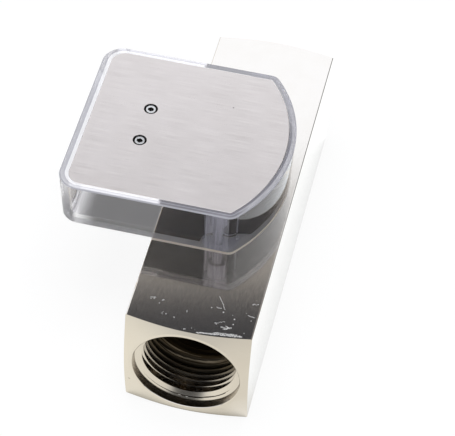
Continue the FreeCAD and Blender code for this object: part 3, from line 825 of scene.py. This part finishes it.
def new_material(name):
    """A material with one Principled shader; gives back its tree and shader."""
    material = bpy.data.materials.new(name)
    material.use_nodes = True
    return material, material.node_tree, material.node_tree.nodes["Principled BSDF"]


def dress(tree, shader, colour, roughness, normal, metallic=0.0):
    """Feed a shader what its surface looks like."""
    feed(tree, shader.inputs["Base Color"], colour)
    feed(tree, shader.inputs["Roughness"], roughness)
    feed(tree, shader.inputs["Normal"], normal)
    shader.inputs["Metallic"].default_value = metallic


def lined_roughness(tree, lines, roughness):
    """Roughness that varies with tool lines about a middle value."""
    return calculate(tree, "MULTIPLY_ADD", lines, LINE_ROUGHNESS, roughness - LINE_ROUGHNESS / 2)


# Scratches on the bar's top, in mm: x and y of the start, x and y of the end, width
BAR_SCRATCHES = (
    (6.6, -49.5, 8.2, -52.0, 0.12), (8.2, -52.0, 9.2, -54.0, 0.12), (6.9, -53.9, 8.0, -53.8, 0.22),
    (7.4, -60.0, 10.2, -58.6, 0.12), (9.6, -61.0, 11.0, -60.9, 0.2), (10.6, -61.6, 12.7, -60.6, 0.3),
    (11.2, -60.4, 12.4, -60.9, 0.25), (17.2, -50.0, 18.8, -49.4, 0.16), (16.8, -54.6, 18.9, -54.9, 0.18),
    (-14.2, -54.9, -12.6, -54.6, 0.16), (-10.4, -55.2, -9.8, -55.0, 0.2), (-2.0, -57.2, -1.9, -57.9, 0.16),
    (-5.3, -60.8, -5.1, -60.9, 0.22), (-1.4, -64.6, -0.8, -64.6, 0.25), (3.0, -64.9, 16.5, -63.2, 0.35),
    (8.0, -63.7, 15.0, -62.9, 0.25),
)
SCRATCH_CORE = 0.4
SCRATCH_WOBBLE = 1.2 * MM
SCRATCH_WOBBLE_WAY = (1, -0.7, 0)
SCRATCH_BREAKS = (0.36, 0.5)
BAR_TOP_FADE = (block_high.z - 0.5 * MM, block_high.z - 0.2 * MM)
KNOCKED_END = (-44 * MM, -58 * MM)
OUTLET_FACE = (-65 * MM, -64 * MM)
END_PIT = (-18.4 * MM, 0, 10.4 * MM)
END_PIT_FADE = (0.2 * MM, 0.55 * MM, 0.5, 0.0)
PORT_EDGE = (LEAD_RADIUS, LEAD_RADIUS + 0.1 * MM, 1.0, 0.0)
# Painted shade in the ports: the lead wall and the depths darken towards a dark brown tone
LEAD_WALL_SHADE = (LEAD_RADIUS - 0.15 * MM, LEAD_RADIUS - 0.05 * MM, 0.0, 0.45)
PORT_SHADE_DEPTHS = (5 * MM, 14 * MM, 0.0, 0.94)
NICKEL_TONES = ((0.895, 0.84, 0.765), (0.883, 0.826, 0.748))
PORT_SHADE_TONE = (0.11, 0.082, 0.045)
MARK_TONE = (0.9, 0.885, 0.86)
PIT_TONE = (0.42, 0.38, 0.32)
NICKEL_ROUGHNESS = (0.06, 0.045)
MARK_ROUGHNESS = 0.42
THREAD_ROUGHNESS = 0.2
PORT_ROUGHNESS = 0.04


def scratch(tree, level, from_x, from_y, to_x, to_y, width):
    """Mask of one straight scratch on a level face, sizes in mm."""
    first = Vector((from_x, from_y, 0)) * MM
    along = Vector((to_x, to_y, 0)) * MM - first
    away = combine(tree, "SUBTRACT", level, tuple(first))
    reach = calculate(tree, "DIVIDE", combine(tree, "DOT_PRODUCT", away, tuple(along)), along.length_squared)
    nearest = combine(tree, "MULTIPLY", along, add_node(tree, "Clamp", reach)[0])
    gap = combine(tree, "DISTANCE", away, nearest)
    return fade(tree, gap, SCRATCH_CORE * width * MM, width * MM, 1.0, 0.0)


def bar_marks(tree, at, y, z):
    """Mask of the knocks and scratches on the bar's top."""
    dents = use_group(tree, knocks, Stretch=(1000, 1000, 1000), Size=0.24, Share=0.11)["Knocks"]
    hairs = use_group(tree, knocks, Stretch=(1500, 160, 160), Turn=(0, 0, 0.5), Size=0.1, Share=0.1)["Knocks"]
    marks = product(tree, calculate(tree, "MAXIMUM", dents, hairs), fade(tree, y, *KNOCKED_END))
    wobble = use_group(tree, drawn_lines, Stretch=(1600, 1600, 1600))["Lines"]
    shift = product(tree, calculate(tree, "SUBTRACT", wobble, 0.5), SCRATCH_WOBBLE)
    ragged = combine(tree, "ADD", at, combine(tree, "MULTIPLY", SCRATCH_WOBBLE_WAY, shift))
    level = combine(tree, "MULTIPLY", ragged, (1, 1, 0))
    broken = use_group(tree, drawn_lines, Stretch=(4200, 4200, 4200))["Lines"]
    broken = fade(tree, broken, *SCRATCH_BREAKS)
    for sizes in BAR_SCRATCHES:
        line = product(tree, scratch(tree, level, *sizes), broken)
        marks = calculate(tree, "MAXIMUM", marks, line)
    return product(tree, marks, fade(tree, z, *BAR_TOP_FADE))


def port_masks(tree, across, y):
    """Masks of the ports' insides and of the painted shade on their lead walls and in their depths."""
    out = combine(tree, "DISTANCE", across, (0, 0, flow_z))
    in_port = fade(tree, out, *PORT_EDGE)
    depth = calculate(tree, "SUBTRACT", bar_end, calculate(tree, "ABSOLUTE", y))
    dark = calculate(tree, "MAXIMUM", fade(tree, out, *LEAD_WALL_SHADE), fade(tree, depth, *PORT_SHADE_DEPTHS))
    return in_port, product(tree, dark, in_port)


def nickel_plate():
    """Ground and nickel-plated bar: lengthwise grinding lines, knocks near its outlet, painted shade in the
    threaded ports.
    """
    material, tree, shader = new_material("nickel_plate")
    at = surface_place(tree)
    y, z = add_node(tree, "SeparateXYZ", at)[1:]
    across = combine(tree, "MULTIPLY", at, (1, 0, 1))
    lines = use_group(tree, drawn_lines, Stretch=(4000, 500, 4000), Tilt=(0.02, 0.006, 0.02))
    patches = use_group(tree, blotches, Scale=140.0, Low=0.35, High=0.7)["Blotches"]
    marks = bar_marks(tree, at, y, z)
    in_port, port_shade = port_masks(tree, across, y)
    pit = fade(tree, combine(tree, "DISTANCE", across, END_PIT), *END_PIT_FADE)
    pit = product(tree, pit, fade(tree, y, *OUTLET_FACE, 1.0, 0.0))
    colour = blend_colours(tree, patches, *NICKEL_TONES)
    # Painted shade in the ports, then the scratches and the pit
    for mask, tone in ((port_shade, PORT_SHADE_TONE), (marks, MARK_TONE), (pit, PIT_TONE)):
        colour = blend_colours(tree, mask, colour, tone)
    rough = calculate(tree, "MULTIPLY_ADD", lines["Lines"], *NICKEL_ROUGHNESS)
    for mask, more in ((marks, MARK_ROUGHNESS), (port_shade, THREAD_ROUGHNESS), (in_port, PORT_ROUGHNESS)):
        rough = calculate(tree, "MULTIPLY_ADD", mask, more, rough)
    normal = blend(tree, "VECTOR", in_port, lines["Normal"], surface_normal(tree))
    dress(tree, shader, colour, rough, normal, 1.0)
    return material


def metal(name, bright, dull, roughness, stretch):
    """A metal finish with tool lines and uneven brightness."""
    material, tree, shader = new_material(name)
    lines = use_group(tree, drawn_lines, Stretch=stretch, Tilt=(0.03, 0.03, 0.03))
    patches = use_group(tree, blotches, Scale=220.0)["Blotches"]
    colour = blend_colours(tree, patches, bright, dull)
    dress(tree, shader, colour, lined_roughness(tree, lines["Lines"], roughness), lines["Normal"], 1.0)
    return material


STEEL_TONES = ((0.98, 0.902, 0.86), (0.99, 0.917, 0.875))
STREAK_TONE, STREAK_SHARE = (0.74, 0.69, 0.68), 0.16
CLOUD_TONE, CLOUD_SHARE = (0.868, 0.797, 0.757), 0.42
SPECK_TONE = (0.2, 0.18, 0.17)
PLATE_SPECK = (-4.5 * MM, 14.5 * MM, 0)
PLATE_SPECK_FADE = (0.12 * MM, 0.35 * MM, 0.8, 0.0)
BRUSHED_ROUGHNESS = (0.14, 0.24)


def brushed_steel():
    """Fine cross-brushed plate with faint clouds and one small speck."""
    material, tree, shader = new_material("brushed_steel")
    fine = use_group(tree, drawn_lines, Stretch=(90, 6000, 6000), Tilt=(0.02, 0.13, 0.13))
    streaks = use_group(tree, drawn_lines, Stretch=(40, 900, 900))["Lines"]
    clouds = use_group(tree, blotches, Scale=60.0, Low=0.3, High=0.7)["Blotches"]
    level = combine(tree, "MULTIPLY", surface_place(tree), (1, 1, 0))
    speck = fade(tree, combine(tree, "DISTANCE", level, PLATE_SPECK), *PLATE_SPECK_FADE)
    colour = blend_colours(tree, fine["Lines"], *STEEL_TONES)
    colour = blend_colours(tree, product(tree, streaks, STREAK_SHARE), colour, STREAK_TONE)
    colour = blend_colours(tree, product(tree, clouds, CLOUD_SHARE), colour, CLOUD_TONE)
    colour = blend_colours(tree, speck, colour, SPECK_TONE)
    rough = calculate(tree, "MULTIPLY_ADD", fine["Lines"], *BRUSHED_ROUGHNESS)
    dress(tree, shader, colour, rough, fine["Normal"], 1.0)
    return material


BENDING, INNER_BENDING, FOOT_BENDING = 1.28, 1.06, 1.05
HAZE_SHADE = 0.97
STREAK_EDGES = (0.35, 0.65)
DARK_STREAK = (0.3, 0.3, 0.33)


def acrylic(name, colour, clearness, roughness, marks, bending=BENDING, streaks=0.0, gloss=0.0):
    """Clear plastic with the fine marks of polishing or milling."""
    material, tree, shader = new_material(name)
    lines = use_group(tree, drawn_lines, Stretch=marks[0], Tilt=marks[1])
    haze = use_group(tree, blotches, Scale=160.0)["Blotches"]
    shade = tuple(HAZE_SHADE * part for part in colour)
    marked = fade(tree, lines["Lines"], *STREAK_EDGES, 0.0, streaks)
    colour = blend_colours(tree, marked, blend_colours(tree, haze, colour, shade), DARK_STREAK)
    rough = calculate(tree, "MULTIPLY_ADD", lines["Lines"], roughness, roughness / 2)
    dress(tree, shader, colour, rough, lines["Normal"])
    shader.inputs["IOR"].default_value = bending
    shader.inputs["Transmission Weight"].default_value = clearness
    shader.inputs["Coat Weight"].default_value = gloss
    return material


def shade_over_bar(finish, colour, **mask):
    """Paint clear plastic darker where the bar lies below it: painted shade for the dark bar seen through it.
    """
    tree = finishes[finish].node_tree
    base = tree.nodes["Principled BSDF"].inputs["Base Color"]
    own = base.links[0].from_socket
    over = use_group(tree, over_bar, **mask)["Over"]
    feed(tree, base, blend_colours(tree, over, own, colour))


GRAIN_SHADE = 0.85


def moulded(name, colour, roughness, grain):
    """Moulded plastic, rubber or paint with a fine grain."""
    material, tree, shader = new_material(name)
    lines = use_group(tree, drawn_lines, Stretch=(grain, grain, grain), Tilt=(0.1, 0.1, 0.1))
    patches = use_group(tree, blotches, Scale=300.0)["Blotches"]
    colour = blend_colours(tree, patches, colour, tuple(GRAIN_SHADE * part for part in colour))
    dress(tree, shader, colour, lined_roughness(tree, lines["Lines"], roughness), lines["Normal"])
    return material


# Stretch of tool lines, stretch and tilt of the marks on clear plastic, and its colour
ALONG_BAR = (60, 5000, 60)
ALONG_STAFF = (60, 60, 5000)
GRAINY = (1500, 1500, 1500)
WAVES = ((120, 120, 60), (0.001, 0.001, 0.001))
CUTTER_MARKS = ((300, 300, 300), (0.02, 0.02, 0.02))
SATIN_MARKS = ((400, 400, 400), (0.02, 0.02, 0.02))
UPRIGHT_STREAKS = ((1300, 1300, 60), (0.004, 0.004, 0.0))
FROSTING = ((2500, 2500, 100), (0.1, 0.1, 0.0))
DRILL_MARKS = ((300, 300, 3000), (0.05, 0.05, 0.1))
CLEAR = (0.97, 0.967, 0.985)

# Colour, clearness, roughness, marks, bending, dark streaks and gloss
ACRYLICS = {
    "polished_acrylic": (CLEAR, 0.985, 0.01, WAVES),
    "glossy_acrylic": (CLEAR, 0.985, 0.01, WAVES, BENDING, 0.0, 0.8),
    "rim_acrylic": ((0.9, 0.895, 0.945), 0.66, 0.04, WAVES),
    # Painted grey line: the ledge's edge as it shows through the rim
    "ledge_line": ((0.6, 0.59, 0.65), 0.5, 0.06, WAVES),
    # Painted highlight: the rim's inner strip is largely opaque white
    "ledge_acrylic": ((0.985, 0.98, 0.995), 0.4, 0.06, WAVES),
    "milled_acrylic": ((0.93, 0.925, 0.98), 0.5, 0.12, CUTTER_MARKS),
    # Painted shade: the rim's broken edge is grey
    "edge_acrylic": ((0.52, 0.515, 0.56), 0.35, 0.2, CUTTER_MARKS),
    "hazed_acrylic": ((0.93, 0.915, 0.99), 0.8, 0.06, UPRIGHT_STREAKS, BENDING, 0.5),
    "inner_acrylic": (CLEAR, 0.98, 0.01, WAVES, INNER_BENDING),
    "satin_acrylic": ((0.97, 0.965, 0.99), 0.55, 0.1, SATIN_MARKS, FOOT_BENDING),
    # Painted highlight: the lower broken edge is nearly opaque white
    "base_acrylic": ((0.98, 0.975, 0.99), 0.1, 0.3, CUTTER_MARKS, FOOT_BENDING),
    # Painted shade: the posts' frosted skins are grey
    "frosted_acrylic": ((0.5, 0.495, 0.545), 0.12, 0.4, FROSTING),
    # Painted shade: the posts' drilled bores are dark grey
    "drilled_acrylic": ((0.26, 0.255, 0.295), 0.1, 0.4, DRILL_MARKS),
}
# Bright and dull colour, roughness and the stretch of the tool lines
METALS = {
    # Painted shade: near black for the countersinks and the screw sockets
    "blackened_steel": ((0.045, 0.043, 0.042), (0.03, 0.029, 0.028), 0.5, ALONG_BAR),
    # Painted shade: the plate's dark underside
    "dark_back": ((0.12, 0.117, 0.114), (0.08, 0.078, 0.076), 0.5, ALONG_BAR),
    "cut_edge": ((0.26, 0.25, 0.245), (0.19, 0.185, 0.18), 0.45, ALONG_BAR),
    "screw_steel": ((0.86, 0.85, 0.83), (0.72, 0.71, 0.7), 0.24, ALONG_STAFF),
    "rod_steel": ((0.7, 0.69, 0.67), (0.6, 0.59, 0.57), 0.24, ALONG_BAR),
    # Painted shade: a darker copy of the brass, for the parts inside the bar
    "flow_brass": ((0.3, 0.21, 0.1), (0.2, 0.14, 0.07), 0.4, ALONG_BAR),
    "turned_brass": ((0.8, 0.6, 0.3), (0.7, 0.51, 0.24), 0.26, ALONG_STAFF),
    "spring_steel": ((0.62, 0.62, 0.61), (0.5, 0.5, 0.5), 0.28, ALONG_BAR),
    "magnet": ((0.4, 0.4, 0.41), (0.3, 0.3, 0.31), 0.38, GRAINY),
}
# Colour, roughness and grain
MOULDED = {
    "bush_plastic": ((0.8, 0.78, 0.72), 0.45, 2000),
    "seal_rubber": ((0.022, 0.022, 0.022), 0.62, 2500),
    "pointer_white": ((0.85, 0.85, 0.83), 0.4, 3000),
    "pointer_red": ((0.68, 0.045, 0.03), 0.4, 3000),
}
finishes = {"nickel_plate": nickel_plate(), "brushed_steel": brushed_steel()}
for make, table in ((acrylic, ACRYLICS), (metal, METALS), (moulded, MOULDED)):
    finishes.update({name: make(name, *values) for name, values in table.items()})
# Painted shade on the rim's strips where the bar lies below, strongest at the front
shade_over_bar("ledge_acrylic", (0.17, 0.165, 0.195), Strength=0.9, Front=0.0, Back=25 * MM, Remains=0.7)
shade_over_bar("rim_acrylic", (0.36, 0.35, 0.4), Strength=0.75,
               Front=-HALF_WIDTH + 2 * MM, Back=-HALF_WIDTH + 7 * MM, Remains=0.2)

NODE_FINISHES = {
    "flow_brass": ("measuring_sleeve", "inlet_spider", "outlet_spider", "piston"),
    "turned_brass": ("upper_bridge", "lower_bridge", "bridge_pillars", "counterweight", "pointer_hub",
                     "pointer_magnet_cup"),
    "rod_steel": ("retaining_ring", "guide_rod", "guide_rod_nuts", "magnet_cap", "spring_seat"),
    "screw_steel": ("housing_screws", "bridge_screws", "pivot_staff"),
    "magnet": ("piston_magnet", "pointer_magnet"),
    "bush_plastic": ("piston_bushes", "pivot_bushes"),
    "seal_rubber": ("sleeve_seal",),
    "pointer_white": ("pointer_arm",),
    "pointer_red": ("pointer_flag",),
}
for finish, names in NODE_FINISHES.items():
    for name in names:
        node = frame["nodes"][name]
        node.data.materials.clear()
        node.data.materials.append(finishes[finish])
        for face in node.data.polygons:
            face.use_smooth = True


def add_finishes(piece, **parts):
    """Give some faces of a piece other finishes; a later finish covers an earlier one."""
    for finish, belongs in parts.items():
        piece.data.materials.append(finishes[finish])
        for face in piece.data.polygons:
            if belongs(face):
                face.material_index = len(piece.data.materials) - 1


# Pieces
place(flow_block_mesh(), "nickel_plate", "nickel_plated_brass", "meter", "flow_block")
tray = place(tray_mesh(), "polished_acrylic", "clear_acrylic", "meter", "indicator_housing")
add_finishes(tray, inner_acrylic=tray_inside, milled_acrylic=floor_edge, base_acrylic=base_edge,
             satin_acrylic=tray_foot, frosted_acrylic=post_side, drilled_acrylic=screw_hole,
             rim_acrylic=rim_top, ledge_line=rim_line, ledge_acrylic=rim_inside,
             edge_acrylic=rim_edge, hazed_acrylic=post_wall, glossy_acrylic=curved_wall)
cover = place(plate_mesh(), "brushed_steel", "brushed_plate", "meter", "cover_plate")
add_finishes(cover, cut_edge=plate_side, dark_back=plate_back, blackened_steel=plate_hole)
screws = place(cover_screw_mesh(), "screw_steel", "screw_steel", "meter", "cover_screws")
add_finishes(screws, blackened_steel=screw_socket)
spring = place(spring_mesh(), "spring_steel", "spring_steel", "meter", "return_spring")
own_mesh(spring)


# Camera at the photograph's viewing angle
CAMERA_AZIMUTH = math.radians(11.098)
CAMERA_ELEVATION = math.radians(48.621)
CAMERA_ROLL = math.radians(2.7205)
CAMERA_PLACE = Vector((0.089348, -0.465151, 0.558244))
FOCAL_PIXELS = 2156.28
IMAGE_WIDTH = 455
SENSOR_WIDTH = 36.0


def add_camera():
    """The photograph's camera."""
    data = bpy.data.cameras.new("camera")
    data.sensor_width = SENSOR_WIDTH
    data.lens = FOCAL_PIXELS * SENSOR_WIDTH / IMAGE_WIDTH
    camera = bpy.data.objects.new("camera", data)
    scene.collection.objects.link(camera)
    level = math.cos(CAMERA_ELEVATION)
    back = Vector((
        math.sin(CAMERA_AZIMUTH) * level, -math.cos(CAMERA_AZIMUTH) * level, math.sin(CAMERA_ELEVATION),
    ))
    turn = (-back).to_track_quat("-Z", "Y").to_matrix() @ Matrix.Rotation(CAMERA_ROLL, 3, "Z")
    camera.matrix_world = Matrix.Translation(CAMERA_PLACE) @ turn.to_4x4()
    scene.camera = camera


# White floor: places in metres, fades from start to end
FLOOR_SIZE = 6
FLOOR_SEEN = 0.88
FLOOR_WHITE = (0.9, 0.9, 0.9, 1)
FLOOR_ROUGHNESS = 0.9
SHADOW_SAMPLES = 16
SHADOW_REACH = 0.12
SHADOW_FADE = (0.2, 0.62, 0.1, 1.0)
# Painted light and shade on the floor for mirrors: a bright strip beside the bar, tones before it, beside it
# and far away, dimmer towards the viewer
STRIP_X = ((0.012, 0.018), (0.032, 0.06))
STRIP_Y = ((-0.075, -0.045), (0.17, 0.22))
STRIP_TONE = (1.09, 1.12, 1.15)
BEFORE_X = (-0.04, 0.015)
BEFORE_Y = (-0.06, -0.03)
BEFORE_TONES = ((0.86, 0.845, 0.77), (0.74, 0.72, 0.655))
BESIDE_TONE = (0.82, 0.825, 0.83)
AWAY_FADE = (0.09, 0.24)
AWAY_TONE = (0.38, 0.385, 0.395)
VIEWER_FADE = (-0.16, -0.32, 1.0, 0.2)
# Painted shadow on the floor under the tray, seen only through clear plastic
UNDER_TRAY_X = (-0.06, -0.05)
UNDER_TRAY_Y = ((-0.01, 0.015), (0.045, 0.07))
UNDER_TRAY_SHADE = 0.83


def within(tree, value, span):
    """Mask of a span with soft ends."""
    return product(tree, fade(tree, value, *span[0]), fade(tree, value, *span[1], 1.0, 0.0))


def painted_floor_light(tree, x, y):
    """Painted light and shade on the floor, as the metal mirrors it: a bright strip on the right, a warm tone
    in front, dimmer far away.
    """
    before = blend_colours(tree, fade(tree, x, *BEFORE_X), *BEFORE_TONES)
    tone = blend_colours(tree, fade(tree, y, *BEFORE_Y), before, BESIDE_TONE)
    away = combine(tree, "LENGTH", surface_place(tree))
    tone = blend_colours(tree, fade(tree, away, *AWAY_FADE), tone, AWAY_TONE)
    strip = product(tree, within(tree, x, STRIP_X), within(tree, y, STRIP_Y))
    return blend_colours(tree, strip, tone, STRIP_TONE)


def add_floor():
    """White floor with the object's shadow; painted light and shade where metal mirrors it, and a painted
    shadow where clear plastic shows it.
    """
    bpy.ops.mesh.primitive_plane_add(size=FLOOR_SIZE)
    floor = bpy.context.object
    floor.name = "floor"
    material, tree, shader = new_material("floor_white")
    shader.inputs["Base Color"].default_value = FLOOR_WHITE
    shader.inputs["Roughness"].default_value = FLOOR_ROUGHNESS
    path = add_node(tree, "LightPath")
    shadow = tree.nodes.new("ShaderNodeAmbientOcclusion")
    shadow.samples = SHADOW_SAMPLES
    shadow.inputs["Distance"].default_value = SHADOW_REACH
    open_sky = fade(tree, shadow.outputs["AO"], *SHADOW_FADE)
    x, y = add_node(tree, "SeparateXYZ", surface_place(tree))[:2]
    lit = product(tree, open_sky, fade(tree, y, *VIEWER_FADE))
    mirrored = combine(tree, "MULTIPLY", painted_floor_light(tree, x, y), lit)
    # Painted shadow under the tray, for rays through clear plastic
    under_tray = fade(tree, x, *UNDER_TRAY_X, 0.0, UNDER_TRAY_SHADE)
    under_tray = calculate(tree, "SUBTRACT", 1.0, product(tree, under_tray, within(tree, y, UNDER_TRAY_Y)))
    shaded = blend_colours(tree, path["Is Transmission Ray"], mirrored, under_tray)
    glow = add_node(tree, "Emission", blend_colours(tree, path["Is Camera Ray"], shaded, (1, 1, 1)))[0]
    through = calculate(tree, "MAXIMUM", path["Is Glossy Ray"], path["Is Transmission Ray"])
    share = calculate(tree, "MULTIPLY_ADD", path["Is Camera Ray"], FLOOR_SEEN, through)
    mix = add_node(tree, "MixShader", share, shader.outputs[0], glow)[0]
    feed(tree, tree.nodes["Material Output"].inputs["Surface"], mix)
    floor.data.materials.append(material)


# Soft light: the sky's tone by height in degrees, and what dims it
SKY_STOPS = (
    (0, (0.37, 0.38, 0.39)), (25, (0.43, 0.44, 0.455)), (38, (0.53, 0.55, 0.575)), (43, (0.552, 0.582, 0.637)),
    (46.8, (0.552, 0.582, 0.637)), (48.9, (0.18, 0.172, 0.168)), (50.2, (0.16, 0.155, 0.152)),
    (50.8, (0.018, 0.019, 0.023)), (57, (0.018, 0.019, 0.023)), (63, (0.3, 0.3, 0.305)),
    (72, (0.44, 0.44, 0.445)), (90, (0.42, 0.42, 0.425)),
)
SKY_LEVEL = 2.0
SKY_DIMMING = -1.86
VIEWER_Y = (-0.55, -0.85)
VIEWER_HEIGHT = (0.16, 0.3, 1.0, 0.0)
FLAG_WAY = (0.74, 0.65, 0.17)
FLAG_EDGE = (0.9, 0.95)
SEEN_THROUGH_HEIGHT = (0.35, 0.6, 1.0, 0.0)
LAMP_SIZE = 0.7
LAMP_POWER = 6.0
LAMP_HEIGHT = 1


def add_world():
    """Bright surround, a dark ring above what the bar's top mirrors, a lit zenith, a dim viewer's side."""
    world = bpy.data.worlds.new("studio")
    scene.world = world
    world.use_nodes = True
    tree = world.node_tree
    way = add_node(tree, "TexCoord")["Generated"]
    y, z = add_node(tree, "SeparateXYZ", way)[1:]
    ramp = tree.nodes.new("ShaderNodeValToRGB")
    feed(tree, ramp.inputs[0], calculate(tree, "DIVIDE", calculate(tree, "ARCSINE", z), math.pi / 2))
    stops = ramp.color_ramp.elements
    for angle, _ in SKY_STOPS[1:-1]:
        stops.new(angle / 90)
    for stop, (angle, colour) in zip(stops, SKY_STOPS):
        stop.position = angle / 90
        stop.color = (*colour, 1)
    viewer = product(tree, fade(tree, y, *VIEWER_Y), fade(tree, z, *VIEWER_HEIGHT))
    flag = fade(tree, combine(tree, "DOT_PRODUCT", way, FLAG_WAY), *FLAG_EDGE)
    dimmed = calculate(tree, "MAXIMUM", viewer, flag)
    level = calculate(tree, "MULTIPLY_ADD", dimmed, SKY_DIMMING, SKY_LEVEL)
    sky = combine(tree, "MULTIPLY", ramp.outputs["Color"], level)
    path = add_node(tree, "LightPath")
    through = product(tree, path["Is Transmission Ray"], fade(tree, z, *SEEN_THROUGH_HEIGHT))
    seen = calculate(tree, "MAXIMUM", path["Is Camera Ray"], through)
    feed(tree, tree.nodes["Background"].inputs["Color"], blend_colours(tree, seen, sky, (1, 1, 1)))


def add_lamp():
    """A soft round lamp overhead, which mirrors don't show."""
    data = bpy.data.lights.new("overhead_lamp", "AREA")
    data.shape = "DISK"
    data.size = LAMP_SIZE
    data.energy = LAMP_POWER
    lamp = bpy.data.objects.new("overhead_lamp", data)
    lamp.location = (0, 0, LAMP_HEIGHT)
    lamp.visible_glossy = False
    scene.collection.objects.link(lamp)


add_camera()
add_floor()
add_world()
add_lamp()
scene.view_settings.view_transform = "Standard"
